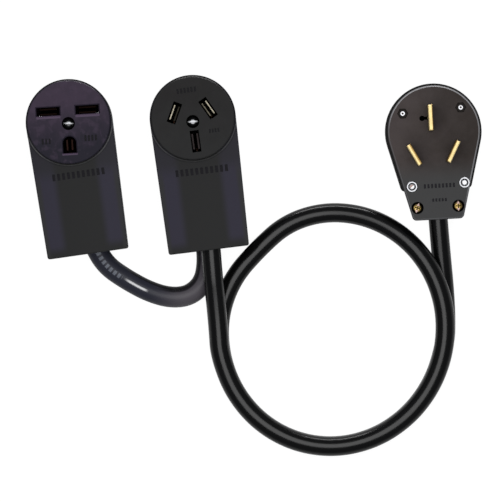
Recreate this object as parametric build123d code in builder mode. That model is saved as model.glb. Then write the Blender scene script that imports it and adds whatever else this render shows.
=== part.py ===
"""Power adapter dogbone: two surface receptacles and an angle plug on heavy cord.

All three heads lie on their backs in one row, contacts facing up. Millimetres, +Z up, origin on
the floor at the middle of the row. Each head is drawn in a lying frame of its own: local Y runs
from the cord end to the round end, and local Z is up.
"""

from build123d import *
from math import acos, atan2, cos, degrees, exp, hypot, pi, radians, sin, tan
import os

os.makedirs("parts", exist_ok=True)

# ------------------------------------------------------------------ where the heads lie
welder_x = -117.6  # the round end's centre
welder_y = 28.3
welder_turn = 8.2
range_x = -39.1
range_y = 30.9
range_turn = 7.0
plug_x = 113.8
plug_y = 22.6
plug_turn = 3.1

# ------------------------------------------------------------------ cords
main_radius = 6.2
branch_radius = 6.7
cord_clearance = 0.1  # around a cord in a grommet or a clamp
cradle_floor = 1.2  # base plate to the branch cord's underside
cradle_below = 1.0  # cradle's top below the branch cord's middle
screw_end_gap = 1.0  # blind end left under each long screw
main_offset = 1.4  # cords off the range receptacle's middle line
branch_offset = -1.3
welder_inner_offset = -1.5  # the branch cord slants across the welder receptacle's mouth
welder_mouth_offset = 4.2
cord_stack_gap = 0.6  # between the two cords in the range receptacle
clamp_grip = 1.5  # clamp bar's underside above the cord's middle
floor_gap = 0.05
jacket_inside = 23.3  # jacket left inside a receptacle, from the cord end's wall
mouth_lead = 5.3  # the route's second point, in from the cord end's wall
plug_jacket_inside = 4.5
core_radius = 1.7
core_pitch = 3.6
copper_radius = 1.3
copper_length = 5.0
bare_gap = 1.5  # insulation's end to the terminal block
core_lead = 7.0  # straight stretch at each end of a core

# ------------------------------------------------------------------ receptacle housings
head_radius = 27.3
head_length = 84.3  # round end's centre to the cord end
head_end_half = 25.6
head_corner = 1.4
base_thick = 4.0
cover_height = 34.5
cover_wall = 2.4
front_wall = 3.6
front_crown = 1.6  # how far the front falls from its middle to its sides
front_round = 0.8
seam_chamfer = 0.35
ring_radius = 27.9  # raised bead around the face, trimmed to the round end
ring_rise = 1.7  # bead's top above the front
ring_chamfer = 0.3
face_groove = 0.5  # dark gap between the face and the bead
slip = 0.2  # loose fit between moulded pieces

face_flange_radius = 26.4
face_flange_thick = 5.8
face_recess = 1.2  # bead's top to the ledge that carries the face
face_body_radius = 23.6
face_body_depth = 15.0
face_chamfer = 0.6
welder_slot_width = 5.4
range_slot_width = 5.65
welder_slot_mouth = 0.7  # chamfer around each slot
range_slot_mouth = 0.1
leaf_thick = 1.0
leaf_gap = 2.2
leaf_end_gap = 2.0
leaf_below_face = 5.3
welder_leaf_below_face = 8.5
block_long = 10.0
block_deep = 9.0
block_tall = 14.0
block_x = 12.0
low_bore_rise = 3.4
high_bore_rise = 10.2
pedestal_inset = 1.5  # contact pedestals, in from the block all round

# slots, from the face's screw
hot_half_spacing = 10.75
hot_slant = 27.3
hot_slot_length = 13.6
neutral_slot_length = 13.8
pattern_height = 19.6  # neutral to the hot pair's line
range_hot_y = 7.0
welder_slot_x = 12.4
welder_slot_y = 8.2
welder_slot_length = 14.8
ground_y = -13.5
ground_width = 8.5
ground_height = 10.6

# each face's own middle, off the round end's centre, and its turn in the housing
welder_face_x = -0.3
welder_face_y = -0.9
welder_face_turn = -4.8
range_face_x = -0.2
range_face_y = -2.3
range_face_turn = 1.0

# screws
screw_hole_radius = 4.15
cover_head_radius = 3.3
cover_head_height = 2.6
cover_head_round = 1.9
cover_slot_turn = 8.0  # degrees
driver_slot_width = 1.0
driver_slot_depth = 1.1
cover_head_depth = 7.8  # face's top to the head's seat
cover_shank_radius = 1.9
screw_run = 0.05  # running clearance around a screw that turns
post_radius = 5.5
insert_radius = 3.0
insert_length = 12.0
terminal_screw_radius = 1.5
terminal_head_radius = 2.6
terminal_head_height = 2.0
clamp_screw_x = 15.5
clamp_screw_radius = 1.7
clamp_screw_head_radius = 3.0
clamp_screw_head_height = 2.2
clamp_boss_radius = 3.8
clamp_half_length = 19.6
clamp_inset = 13.3  # clamp bar, in from the cord end
clamp_depth = 8.0
bar_corner = 2.0
clamp_thick = 5.2

# wall fixing holes in each base
wall_hole_radius = 2.3
wall_hole_top_y = 17.0
wall_hole_spacing = 64.0

# mouth for the cords in the cover's end wall
mouth_half = 12.6
mouth_margin = 1.6  # above the cord
welder_mouth_x = 4.5
range_mouth_x = 0.0
grommet_flange = 1.5
grommet_gap = 0.1

# ------------------------------------------------------------------ angle plug
shell_radius = 30.6
shell_length = 37.0
shell_end_half = 22.0
shell_corner = 3.0
shell_height = 20.0
shell_wall = 2.6
shell_floor = 3.0
shell_chamfer = 1.5
plate_radius = 29.3
plate_length = 56.0
plate_end_half = 15.8
plate_corner = 2.8
plate_thick = 12.0
plate_chamfer = 1.0
blade_shift = -1.7  # blade pattern off the plug's middle line
blade_tilt = 2.0  # the pattern's turn in the plate
blade_thick = 2.8
blade_fit = 0.15
hot_blade_width = 14.6
neutral_blade_width = 16.2
blade_reach = 25.0
blade_tip_chamfer = 0.5
blade_half_spacing = 12.3
blade_slant = 28.0
blade_pattern_height = 22.6  # neutral to the hot pair's line
neutral_y = 8.6
key_hole_radius = 1.7
key_hole_neck = 1.9
key_hole_x = 5.4
key_hole_depth = 11.0
root_long = 9.0
root_deep = 8.0
root_tall = 9.0
upper_screw_x = 18.5
upper_screw_y = 13.3
upper_screw_tilt = 3.0
lower_screw_x = 16.7
lower_screw_tilt = 1.6
lower_screw_inset = 3.1  # in from the back shell's end
body_screw_radius = 1.8
body_screw_head_radius = 3.4
body_screw_head_height = 2.2
body_screw_tip = 0.5
body_screw_dimple = 0.7
body_boss_radius = 3.9
nut_across = 5.6
nut_thick = 2.6
nut_pocket_depth = 4.0
nut_play = 0.25
eyelet_radius = 3.4
eyelet_bore_radius = 2.6
eyelet_thick = 1.3
eyelet_round = 0.35
eyelet_seat = 0.8
plug_clamp_x = 13.0
plug_clamp_inset = 8.0  # in from the front plate's end
plug_clamp_head_radius = 2.9
plug_clamp_play = 1.0  # around the head in its recess
plug_clamp_head_height = 2.2
plug_clamp_head_round = 1.2
cross_length = 4.4
cross_width = 1.1
cross_depth = 1.4
plug_clamp_recess = 4.0
plug_clamp_shank_radius = 1.8
bar_half_length = 16.6
bar_depth = 8.0
bar_bottom = 4.6
bar_top = 13.4

# ------------------------------------------------------------------ heights that follow
clamp_y = clamp_inset - head_length
jacket_y = jacket_inside - head_length
mouth_y = mouth_lead - head_length
plug_clamp_y = plug_clamp_inset - plate_length
lower_screw_y = lower_screw_inset - shell_length
plug_jacket_y = plug_jacket_inside - shell_length
front_z = base_thick + cover_height
ring_top_z = front_z + ring_rise
face_seat_z = ring_top_z - face_recess
face_top_z = face_seat_z + face_flange_thick
face_bottom_z = face_seat_z - face_body_depth
block_bottom_z = face_bottom_z - block_tall
leaf_top_z = face_top_z - leaf_below_face
welder_leaf_top_z = face_top_z - welder_leaf_below_face
low_bore_z = block_bottom_z + low_bore_rise
high_bore_z = block_bottom_z + high_bore_rise
cover_seat_z = face_top_z - cover_head_depth
plate_top_z = shell_height + plate_thick
root_bore_z = shell_height - root_tall / 2
range_neutral_y = range_hot_y - pattern_height
plug_hot_y = neutral_y - blade_pattern_height
plug_cord_z = shell_height - main_radius - cord_clearance
branch_z = base_thick + cradle_floor + branch_radius
main_z = branch_z + branch_radius + main_radius + cord_stack_gap
single_mouth_top = branch_z + branch_radius + mouth_margin
double_mouth_top = main_z + main_radius + mouth_margin


# ------------------------------------------------------------------ frames
def lying_frame(x, y, turn):
    """A head's own frame on the floor."""
    return Plane(origin=(x, y, 0), x_dir=(cos(radians(turn)), sin(radians(turn)), 0), z_dir=(0, 0, 1))


def end_plane(frame, x, y, z):
    """A plane across the head, its own Y up and its normal towards the cord end."""
    return Plane(origin=frame.from_local_coords((x, y, z)), x_dir=frame.x_dir, z_dir=-frame.y_dir)


def side_plane(frame, x, y, z, side):
    """A plane along the head, its own Y up and its normal towards that side."""
    origin = frame.from_local_coords((x, y, z))
    return Plane(origin=origin, x_dir=frame.y_dir * side, z_dir=frame.x_dir * side)


def place_on(frame, x, y, z):
    """A local point as a plain tuple."""
    return tuple(frame.from_local_coords((x, y, z)))


def past_end(frame, x, beyond, z):
    """A point past the housing's cord end."""
    return place_on(frame, x, -head_length - beyond, z)


def save(piece, name):
    """Label one finished piece and write it."""
    piece.part.label = name
    export_step(piece.part, f"parts/{name}.step")


welder_frame = lying_frame(welder_x, welder_y, welder_turn)
range_frame = lying_frame(range_x, range_y, range_turn)
plug_frame = lying_frame(plug_x, plug_y, plug_turn)


def pattern_frame(frame, x, y, turn):
    """A face's own frame: its slots, contacts and screw sit a little off the round end's centre."""
    middle = frame.from_local_coords((x, y, 0))
    return Plane(origin=middle, x_dir=frame.x_dir, z_dir=(0, 0, 1)).rotated((0, 0, turn))


welder_pattern = pattern_frame(welder_frame, welder_face_x, welder_face_y, welder_face_turn)
range_pattern = pattern_frame(range_frame, range_face_x, range_face_y, range_face_turn)

# ------------------------------------------------------------------ cord routes
coil_centre = (49.5, -103.2)
coil_radius = 74.2
coil_oval = 1.5  # how far it is drawn out along its long axis
coil_lean = 76.0  # the long axis's angle
coil_start = 193.0  # degrees around the coil, counted past one turn
coil_step = 20.0
coil_points = 27
low_z = main_radius + floor_gap
high_z = low_z + 2 * main_radius + 0.15
fall_start = 400.0  # the upper strand starts to come down here
fall_end = 475.0
corner_angle = 495.0  # the coil draws in beside the housing's corner
corner_draw = 0.054
corner_spread = 18.0


def coil_point(angle):
    """One point of the coil: a leaning oval drawn in a little at one place, in two layers."""
    draw = 1 - corner_draw * exp(-(((angle - corner_angle) / corner_spread) ** 2))
    reach = draw * (coil_radius + coil_oval * cos(radians(2 * (angle - coil_lean))))
    x = coil_centre[0] + reach * cos(radians(angle))
    y = coil_centre[1] + reach * sin(radians(angle))
    part_way = min(1.0, max(0.0, (angle - fall_start) / (fall_end - fall_start)))
    ease = part_way * part_way * (3 - 2 * part_way)
    return (x, y, high_z + (low_z - high_z) * ease)


main_route = [
    place_on(range_frame, main_offset, jacket_y, main_z),
    place_on(range_frame, main_offset + 0.2, mouth_y, main_z - 0.1),
    past_end(range_frame, 0.6, 14.1, 24.6),
    past_end(range_frame, 0.2, 32.7, 21.2),
    (-22.9, -103.6, 18.8),
]
main_route += [coil_point(coil_start + coil_step * step) for step in range(coil_points)]
main_route += [
    (122.1, -95.5, low_z),
    (121.1, -77.5, low_z + 0.3),
    (119.3, -59.5, 8.9),
    place_on(plug_frame, 0.2, -plate_length - 4.0, plug_cord_z - 1.5),
    place_on(plug_frame, 0.0, plug_clamp_y + 2.0, plug_cord_z),
    place_on(plug_frame, 0.0, plug_jacket_y, plug_cord_z),
]

branch_route = [
    place_on(welder_frame, welder_inner_offset, jacket_y, branch_z),
    place_on(welder_frame, welder_mouth_offset, mouth_y, branch_z - 0.3),
    past_end(welder_frame, 9.7, 8.6, 9.7),
    past_end(welder_frame, 21.0, 19.2, 7.6),
    past_end(welder_frame, 34.5, 29.3, 6.9),
    past_end(welder_frame, 47.6, 35.2, 6.8),
    past_end(range_frame, -15.9, 27.3, 6.9),
    past_end(range_frame, -6.2, 20.4, 7.9),
    past_end(range_frame, -2.2, 9.1, 9.9),
    place_on(range_frame, branch_offset, mouth_y, branch_z - 0.3),
    place_on(range_frame, branch_offset, jacket_y, branch_z),
]


def arc_radii(points):
    """The largest even arc at each corner: 0.45 of the shorter run over the half turn's tangent."""
    radii = []
    for before, here, after in zip(points, points[1:], points[2:]):
        run_in = Vector(*here) - Vector(*before)
        run_out = Vector(*after) - Vector(*here)
        turn = radians(run_in.get_angle(run_out))
        radii.append(0.45 * min(run_in.length, run_out.length) / tan(turn / 2))
    return radii


def route_length(points):
    """Length along the runs and arcs of a route."""
    total = sum((Vector(*there) - Vector(*here)).length for here, there in zip(points, points[1:]))
    for before, here, after, radius in zip(points, points[1:], points[2:], arc_radii(points)):
        turn = radians((Vector(*here) - Vector(*before)).get_angle(Vector(*after) - Vector(*here)))
        total -= radius * (2 * tan(turn / 2) - turn)
    return total


def tube(points, radius):
    """A round tube along straight runs joined by tangent arcs."""
    with BuildPart() as made:
        with BuildLine() as path:
            FilletPolyline(*points, radius=arc_radii(points))
        with BuildSketch(Plane(origin=points[0], z_dir=path.line % 0)):
            Circle(radius)
        sweep(path=path.line)
    return made


def passage(points, radius):
    """The room that a cord's end needs where it passes through other pieces."""
    return tube(points, radius + cord_clearance).part


main_at_range = passage(main_route[:4], main_radius)
main_at_plug = passage(main_route[:-5:-1], main_radius)
branch_at_welder = passage(branch_route[:4], branch_radius)
branch_at_range = passage(branch_route[:-5:-1], branch_radius)


# ------------------------------------------------------------------ outlines
def tombstone(radius, length, end_half, corner):
    """A round end about the origin, straight sides and a flat end with small corners."""
    to_corner = hypot(end_half, length)
    meet = degrees(atan2(-length, end_half) + acos(radius / to_corner))
    meet_x = radius * cos(radians(meet))
    meet_y = radius * sin(radians(meet))
    with BuildSketch() as outline:
        with BuildLine():
            CenterArc((0, 0), radius, meet, 180 - 2 * meet)
            Polyline((-meet_x, meet_y), (-end_half, -length), (end_half, -length), (meet_x, meet_y))
        make_face()
        ends = outline.vertices().group_by(Axis.Y)[0]
        fillet(ends, radius=corner)
    return outline.sketch


def head_outline(inset):
    """The housing's outline, drawn in by an inset."""
    return tombstone(head_radius - inset, head_length - inset, head_end_half - inset, head_corner)


def ground_outline(grow):
    """The U-shaped ground opening, round towards the middle of the face."""
    width = ground_width + 2 * grow
    height = ground_height + 2 * grow
    with BuildSketch() as opening:
        with Locations((0, -height / 2 + (height - width / 2) / 2)):
            Rectangle(width, height - width / 2)
        with Locations((0, height / 2 - width / 2)):
            Circle(width / 2)
    return opening.sketch


# ------------------------------------------------------------------ receptacle pieces
sides = [-1, 1, -1]  # which way each contact's set screw points: left, right, third


def base_piece(frame, pattern, blocks, passages, boss_top_z):
    """Back plate with the centre post, contact pedestals, cord cradle and clamp bosses."""
    with BuildPart() as base:
        with BuildSketch(frame):
            add(head_outline(0))
        extrude(amount=base_thick)
        chamfer(base.edges().group_by(Axis.Z)[0] + base.edges().group_by(Axis.Z)[-1], length=seam_chamfer)
        with BuildSketch(pattern.offset(base_thick)):
            for block_x, block_y in blocks:
                with Locations((block_x, block_y)):
                    Rectangle(block_long - 2 * pedestal_inset, block_deep - 2 * pedestal_inset)
        extrude(amount=block_bottom_z - base_thick)
        with BuildSketch(pattern.offset(base_thick)):
            Circle(post_radius)
        extrude(amount=face_bottom_z - base_thick)
        with BuildSketch(frame.offset(base_thick)):
            with Locations((0, clamp_y)):
                Rectangle(2 * clamp_screw_x, clamp_depth - 1)
        extrude(amount=branch_z - base_thick - cradle_below)
        with BuildSketch(frame.offset(base_thick)):
            with Locations((-clamp_screw_x, clamp_y), (clamp_screw_x, clamp_y)):
                Circle(clamp_boss_radius)
        extrude(amount=boss_top_z - base_thick)
        with BuildSketch(pattern.offset(face_bottom_z)):
            Circle(insert_radius + screw_run)
        extrude(amount=-insert_length, mode=Mode.SUBTRACT)
        with BuildSketch(frame.offset(boss_top_z)):
            with Locations((-clamp_screw_x, clamp_y), (clamp_screw_x, clamp_y)):
                Circle(clamp_screw_radius + screw_run)
        extrude(amount=base_thick - boss_top_z + screw_end_gap, mode=Mode.SUBTRACT)
        with BuildSketch(frame):
            with Locations((0, wall_hole_top_y), (0, wall_hole_top_y - wall_hole_spacing)):
                Circle(wall_hole_radius)
        extrude(amount=base_thick, mode=Mode.SUBTRACT)
        for cord_passage in passages:
            add(cord_passage, mode=Mode.SUBTRACT)
    return base


def cover_piece(frame, mouth_x, mouth_top):
    """Moulded cover: crowned front, raised bead around the face, and a mouth for the cords."""
    with BuildPart() as cover:
        with BuildSketch(frame.offset(base_thick)):
            add(head_outline(0))
        extrude(amount=cover_height)
        with BuildSketch(end_plane(frame, 0, head_radius, 0)):
            with BuildLine():
                side_z = front_z - front_crown
                ThreePointArc((-head_radius, side_z), (0, front_z), (head_radius, side_z))
                Polyline((head_radius, side_z), (head_radius, 0), (-head_radius, 0), (-head_radius, side_z))
            make_face()
        extrude(amount=head_radius + head_length, mode=Mode.INTERSECT)
        front = cover.faces().sort_by(SortBy.AREA).filter_by(GeomType.CYLINDER)[-1]
        fillet(front.edges(), radius=front_round)
        chamfer(cover.edges().group_by(Axis.Z)[0], length=seam_chamfer)
        with BuildSketch(frame.offset(front_z - front_wall)):
            Circle(ring_radius)
            add(head_outline(0), mode=Mode.INTERSECT)
        extrude(amount=ring_top_z - front_z + front_wall)
        chamfer(cover.faces().sort_by(Axis.Z)[-1].edges(), length=ring_chamfer)
        with BuildSketch(frame.offset(base_thick)):
            add(head_outline(cover_wall))
        extrude(amount=cover_height - front_wall, mode=Mode.SUBTRACT)
        with BuildSketch(frame.offset(face_seat_z)):
            Circle(face_flange_radius + face_groove)
        extrude(amount=ring_top_z - face_seat_z, mode=Mode.SUBTRACT)
        with BuildSketch(frame.offset(front_z - front_wall)):
            Circle(face_body_radius + slip)
        extrude(amount=ring_top_z - front_z + front_wall, mode=Mode.SUBTRACT)
        with BuildSketch(end_plane(frame, mouth_x, cover_wall - head_length, base_thick)):
            with Locations((0, (mouth_top - base_thick) / 2)):
                Rectangle(2 * mouth_half, mouth_top - base_thick)
        extrude(amount=cover_wall, mode=Mode.SUBTRACT)
    return cover


def face_piece(frame, pattern, slots, ground, slot_mouth):
    """Round contact face: a thick flange inside the cover's bead and a deep body with the slots."""
    with BuildPart() as face:
        with BuildSketch(frame.offset(face_seat_z)):
            Circle(face_flange_radius)
        extrude(amount=face_flange_thick)
        chamfer(face.edges().group_by(Axis.Z)[-1], length=face_chamfer)
        with BuildSketch(frame.offset(face_bottom_z)):
            Circle(face_body_radius)
        extrude(amount=face_body_depth)
        for x, y, length, width, turn in slots:
            with BuildSketch(pattern.offset(face_bottom_z)):
                with Locations(Location((x, y), turn)):
                    Rectangle(width, length)
            extrude(amount=face_top_z - face_bottom_z, mode=Mode.SUBTRACT)
            with BuildSketch(pattern.offset(face_top_z)):
                with Locations(Location((x, y), turn)):
                    Rectangle(width + 2 * slot_mouth, length + 2 * slot_mouth)
            extrude(amount=-slot_mouth, taper=45, mode=Mode.SUBTRACT)
        if ground:
            with BuildSketch(pattern.offset(face_bottom_z)):
                with Locations((0, ground_y)):
                    add(ground_outline(0))
            extrude(amount=face_top_z - face_bottom_z, mode=Mode.SUBTRACT)
            with BuildSketch(pattern.offset(face_top_z)):
                with Locations((0, ground_y)):
                    add(ground_outline(slot_mouth))
            extrude(amount=-slot_mouth, taper=45, mode=Mode.SUBTRACT)
        with BuildSketch(pattern.offset(face_top_z)):
            Circle(screw_hole_radius)
        extrude(amount=-cover_head_depth, mode=Mode.SUBTRACT)
        with BuildSketch(pattern.offset(face_bottom_z)):
            Circle(cover_shank_radius + slip)
        extrude(amount=face_top_z - face_bottom_z, mode=Mode.SUBTRACT)
    return face


def contact_piece(frame, block, slot, leaf_top, bore_heights, screw_side):
    """Brass contact: a terminal block under the face and two spring leaves up into the slot."""
    block_x, block_y = block
    x, y, length, turn = slot
    leaf_offset = (leaf_gap + leaf_thick) / 2
    with BuildPart() as contact:
        with BuildSketch(frame.offset(block_bottom_z)):
            with Locations((block_x, block_y)):
                Rectangle(block_long, block_deep)
        extrude(amount=block_tall)
        with BuildSketch(frame.offset(face_bottom_z)):
            with Locations(Location((x, y), turn)):
                with Locations((-leaf_offset, 0), (leaf_offset, 0)):
                    Rectangle(leaf_thick, length)
        extrude(amount=leaf_top - face_bottom_z)
        for bore_z in bore_heights:
            with BuildSketch(end_plane(frame, block_x, block_y, bore_z)):
                Circle(copper_radius + cord_clearance)
            extrude(amount=block_deep / 2, mode=Mode.SUBTRACT)
            with BuildSketch(side_plane(frame, block_x, block_y - block_deep / 4, bore_z, screw_side)):
                Circle(terminal_screw_radius + screw_run)
            extrude(amount=block_long / 2, mode=Mode.SUBTRACT)
    return contact


def terminal_screws(frame, blocks, sides, bore_heights, long, deep):
    """One set screw for each wire bore, from the block's side onto the copper."""
    with BuildPart() as screws:
        for (block_x, block_y), side in zip(blocks, sides):
            for bore_z in bore_heights:
                start_x = block_x + side * (copper_radius + screw_run)
                shank = long / 2 - copper_radius
                with BuildSketch(side_plane(frame, start_x, block_y - deep / 4, bore_z, side)):
                    Circle(terminal_screw_radius)
                extrude(amount=shank)
                head_x = block_x + side * (long / 2 + screw_run)
                with BuildSketch(side_plane(frame, head_x, block_y - deep / 4, bore_z, side)):
                    Circle(terminal_head_radius)
                extrude(amount=terminal_head_height)
    return screws


def cover_screw(frame):
    """Slotted screw through the face into the post's threaded insert."""
    seat = cover_seat_z + screw_run
    with BuildPart() as screw:
        with BuildSketch(frame.offset(seat)):
            Circle(cover_head_radius)
        extrude(amount=cover_head_height)
        fillet(screw.edges().group_by(Axis.Z)[-1], radius=cover_head_round)
        with BuildSketch(frame.offset(seat)):
            Circle(cover_shank_radius)
        extrude(amount=-(seat - face_bottom_z + insert_length - screw_end_gap))
        with BuildSketch(frame.offset(seat + cover_head_height)):
            with Locations(Location((0, 0), cover_slot_turn)):
                Rectangle(2 * cover_head_radius, driver_slot_width)
        extrude(amount=-driver_slot_depth, mode=Mode.SUBTRACT)
    return screw


def threaded_insert(frame):
    """Brass tube in the centre post that the cover screw bites into."""
    with BuildPart() as insert:
        with BuildSketch(frame.offset(face_bottom_z)):
            Circle(insert_radius)
            Circle(cover_shank_radius + screw_run, mode=Mode.SUBTRACT)
        extrude(amount=-insert_length)
    return insert


def cord_clamp(frame, bottom_z, passages):
    """Clamp bar over the cord, notched to its round."""
    with BuildPart() as clamp:
        with BuildSketch(frame.offset(bottom_z)):
            with Locations((0, clamp_y)):
                RectangleRounded(2 * clamp_half_length, clamp_depth, bar_corner)
        extrude(amount=clamp_thick)
        with BuildSketch(frame.offset(bottom_z)):
            with Locations((-clamp_screw_x, clamp_y), (clamp_screw_x, clamp_y)):
                Circle(clamp_screw_radius + screw_run)
        extrude(amount=clamp_thick, mode=Mode.SUBTRACT)
        for cord_passage in passages:
            add(cord_passage, mode=Mode.SUBTRACT)
    return clamp


def clamp_screws(frame, bottom_z):
    """Two screws through the clamp bar into the base's bosses."""
    with BuildPart() as screws:
        with BuildSketch(frame.offset(base_thick + 2 * screw_end_gap)):
            with Locations((-clamp_screw_x, clamp_y), (clamp_screw_x, clamp_y)):
                Circle(clamp_screw_radius)
        extrude(amount=bottom_z + clamp_thick - base_thick - 2 * screw_end_gap)
        with BuildSketch(frame.offset(bottom_z + clamp_thick)):
            with Locations((-clamp_screw_x, clamp_y), (clamp_screw_x, clamp_y)):
                Circle(clamp_screw_head_radius)
        extrude(amount=clamp_screw_head_height)
    return screws


def grommet_piece(frame, mouth_x, mouth_top, passages):
    """Rubber block that fills the mouth, flanged inside, bored for each cord."""
    with BuildPart() as grommet:
        with BuildSketch(end_plane(frame, mouth_x, cover_wall - head_length, base_thick)):
            with Locations((0, (mouth_top - base_thick - grommet_gap) / 2)):
                Rectangle(2 * (mouth_half - grommet_gap), mouth_top - base_thick - grommet_gap)
        extrude(amount=cover_wall)
        with BuildSketch(end_plane(frame, mouth_x, cover_wall - head_length, base_thick)):
            with Locations((0, (mouth_top - base_thick + grommet_flange) / 2)):
                Rectangle(2 * (mouth_half + grommet_flange), mouth_top - base_thick + grommet_flange)
        extrude(amount=-grommet_flange)
        for cord_passage in passages:
            add(cord_passage, mode=Mode.SUBTRACT)
    return grommet


def wire_cores(frame, route, targets):
    """Insulated cores from the cut end of the cord at the route's start to their terminals."""
    cord_end = Vector(*route[0])
    inward = (cord_end - Vector(*route[1])).normalized()
    across = inward.cross(Vector(0, 0, 1)).normalized()
    made = []
    for index, (to_x, to_y, to_z) in enumerate(targets):
        start = cord_end + across * (core_pitch * (index - (len(targets) - 1) / 2))
        bare_y = to_y - bare_gap
        points = [
            tuple(start),
            tuple(start + inward * core_lead),
            place_on(frame, to_x, bare_y - core_lead, to_z),
            place_on(frame, to_x, bare_y, to_z),
        ]
        made.append(tube(points, core_radius).part)
    with BuildPart() as cores:
        for core in made:
            add(core)
    return cores


def wire_ends(frame, targets):
    """Bare copper ends from each core into its terminal's bore."""
    with BuildPart() as ends:
        for to_x, to_y, to_z in targets:
            with BuildSketch(end_plane(frame, to_x, to_y - bare_gap, to_z)):
                Circle(copper_radius)
            extrude(amount=-copper_length)
    return ends


def receptacle(
    name, frame, pattern, slots, ground, leaf_top, blocks, third, passages, mouth, clamp_z, bores
):
    """All moulded and metal pieces of one receptacle head, apart from its wires."""
    save(base_piece(frame, pattern, blocks, passages, clamp_z), f"{name}_base")
    save(cover_piece(frame, *mouth), f"{name}_cover")
    mouth_edge = welder_slot_mouth if ground else range_slot_mouth
    face = face_piece(frame, pattern, slots[:2] if ground else slots, ground, mouth_edge)
    save(face, f"{name}_face")
    for side_name, block, slot, side in zip(("left", "right", third), blocks, slots, sides):
        x, y, length, _, turn = slot
        leaves = (x, y, length - 2 * leaf_end_gap, turn)
        contact = contact_piece(pattern, block, leaves, leaf_top, bores, side)
        save(contact, f"{name}_{side_name}_contact")
    screws = terminal_screws(pattern, blocks, sides, bores, block_long, block_deep)
    save(screws, f"{name}_terminal_screws")
    save(cover_screw(pattern), f"{name}_cover_screw")
    save(threaded_insert(pattern), f"{name}_threaded_insert")
    save(cord_clamp(frame, clamp_z, passages), f"{name}_cord_clamp")
    save(clamp_screws(frame, clamp_z), f"{name}_clamp_screws")
    save(grommet_piece(frame, *mouth, passages), f"{name}_cord_grommet")


# ------------------------------------------------------------------ welder receptacle
welder_slots = [
    (-welder_slot_x, welder_slot_y, welder_slot_length, welder_slot_width, 90),
    (welder_slot_x, welder_slot_y, welder_slot_length, welder_slot_width, 90),
    (0, ground_y, ground_height, ground_width, 0),
]
welder_blocks = [(-block_x, welder_slot_y), (block_x, welder_slot_y), (0, ground_y)]
receptacle(
    "welder",
    welder_frame,
    welder_pattern,
    welder_slots,
    True,
    welder_leaf_top_z,
    welder_blocks,
    "ground",
    [branch_at_welder],
    (welder_mouth_x, single_mouth_top),
    branch_z + clamp_grip,
    [low_bore_z],
)

# ------------------------------------------------------------------ range receptacle
range_slots = [
    (-hot_half_spacing, range_hot_y, hot_slot_length, range_slot_width, -hot_slant),
    (hot_half_spacing, range_hot_y, hot_slot_length, range_slot_width, hot_slant),
    (0, range_neutral_y, neutral_slot_length, range_slot_width, 0),
]
range_blocks = [(-block_x, range_hot_y), (block_x, range_hot_y), (0, range_neutral_y)]
receptacle(
    "range",
    range_frame,
    range_pattern,
    range_slots,
    False,
    leaf_top_z,
    range_blocks,
    "neutral",
    [main_at_range, branch_at_range],
    (range_mouth_x, double_mouth_top),
    main_z + clamp_grip,
    [low_bore_z, high_bore_z],
)


def block_targets(blocks, bore_z, deep):
    """Where the cores meet the blocks: left, middle, right."""
    left, right, middle = blocks
    return [(x, y - deep / 2, bore_z) for x, y in (left, middle, right)]


welder_targets = block_targets(welder_blocks, low_bore_z, block_deep)
range_low = block_targets(range_blocks, low_bore_z, block_deep)
range_high = block_targets(range_blocks, high_bore_z, block_deep)
save(wire_cores(welder_pattern, branch_route, welder_targets), "welder_wire_cores")
save(wire_ends(welder_pattern, welder_targets), "welder_wire_ends")
save(wire_cores(range_pattern, branch_route[::-1], range_low), "range_branch_wire_cores")
save(wire_ends(range_pattern, range_low), "range_branch_wire_ends")
save(wire_cores(range_pattern, main_route, range_high), "range_main_wire_cores")
save(wire_ends(range_pattern, range_high), "range_main_wire_ends")

# ------------------------------------------------------------------ angle plug
def tilted(x, y, turn):
    """A point of the plug turned about its middle."""
    return (
        x * cos(radians(turn)) - y * sin(radians(turn)),
        x * sin(radians(turn)) + y * cos(radians(turn)),
    )


def blade_spot(x, y, width, slant):
    """One blade of the tilted pattern: its place, width and turn."""
    return (*tilted(blade_shift + x, y, blade_tilt), width, slant)


plug_blades = {
    "left": blade_spot(-blade_half_spacing, plug_hot_y, hot_blade_width, blade_slant),
    "right": blade_spot(blade_half_spacing, plug_hot_y, hot_blade_width, -blade_slant),
    "neutral": blade_spot(0, neutral_y, neutral_blade_width, 0),
}
plug_blocks = [(x, y) for x, y, _, _ in plug_blades.values()]
body_screw_spots = [
    tilted(-upper_screw_x, upper_screw_y, upper_screw_tilt),
    tilted(upper_screw_x, upper_screw_y, upper_screw_tilt),
    tilted(-lower_screw_x, lower_screw_y, lower_screw_tilt),
    tilted(lower_screw_x, lower_screw_y, lower_screw_tilt),
]
upper_spots = body_screw_spots[:2]
lower_spots = body_screw_spots[2:]
clamp_spots = [(-plug_clamp_x, plug_clamp_y), (plug_clamp_x, plug_clamp_y)]

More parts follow.
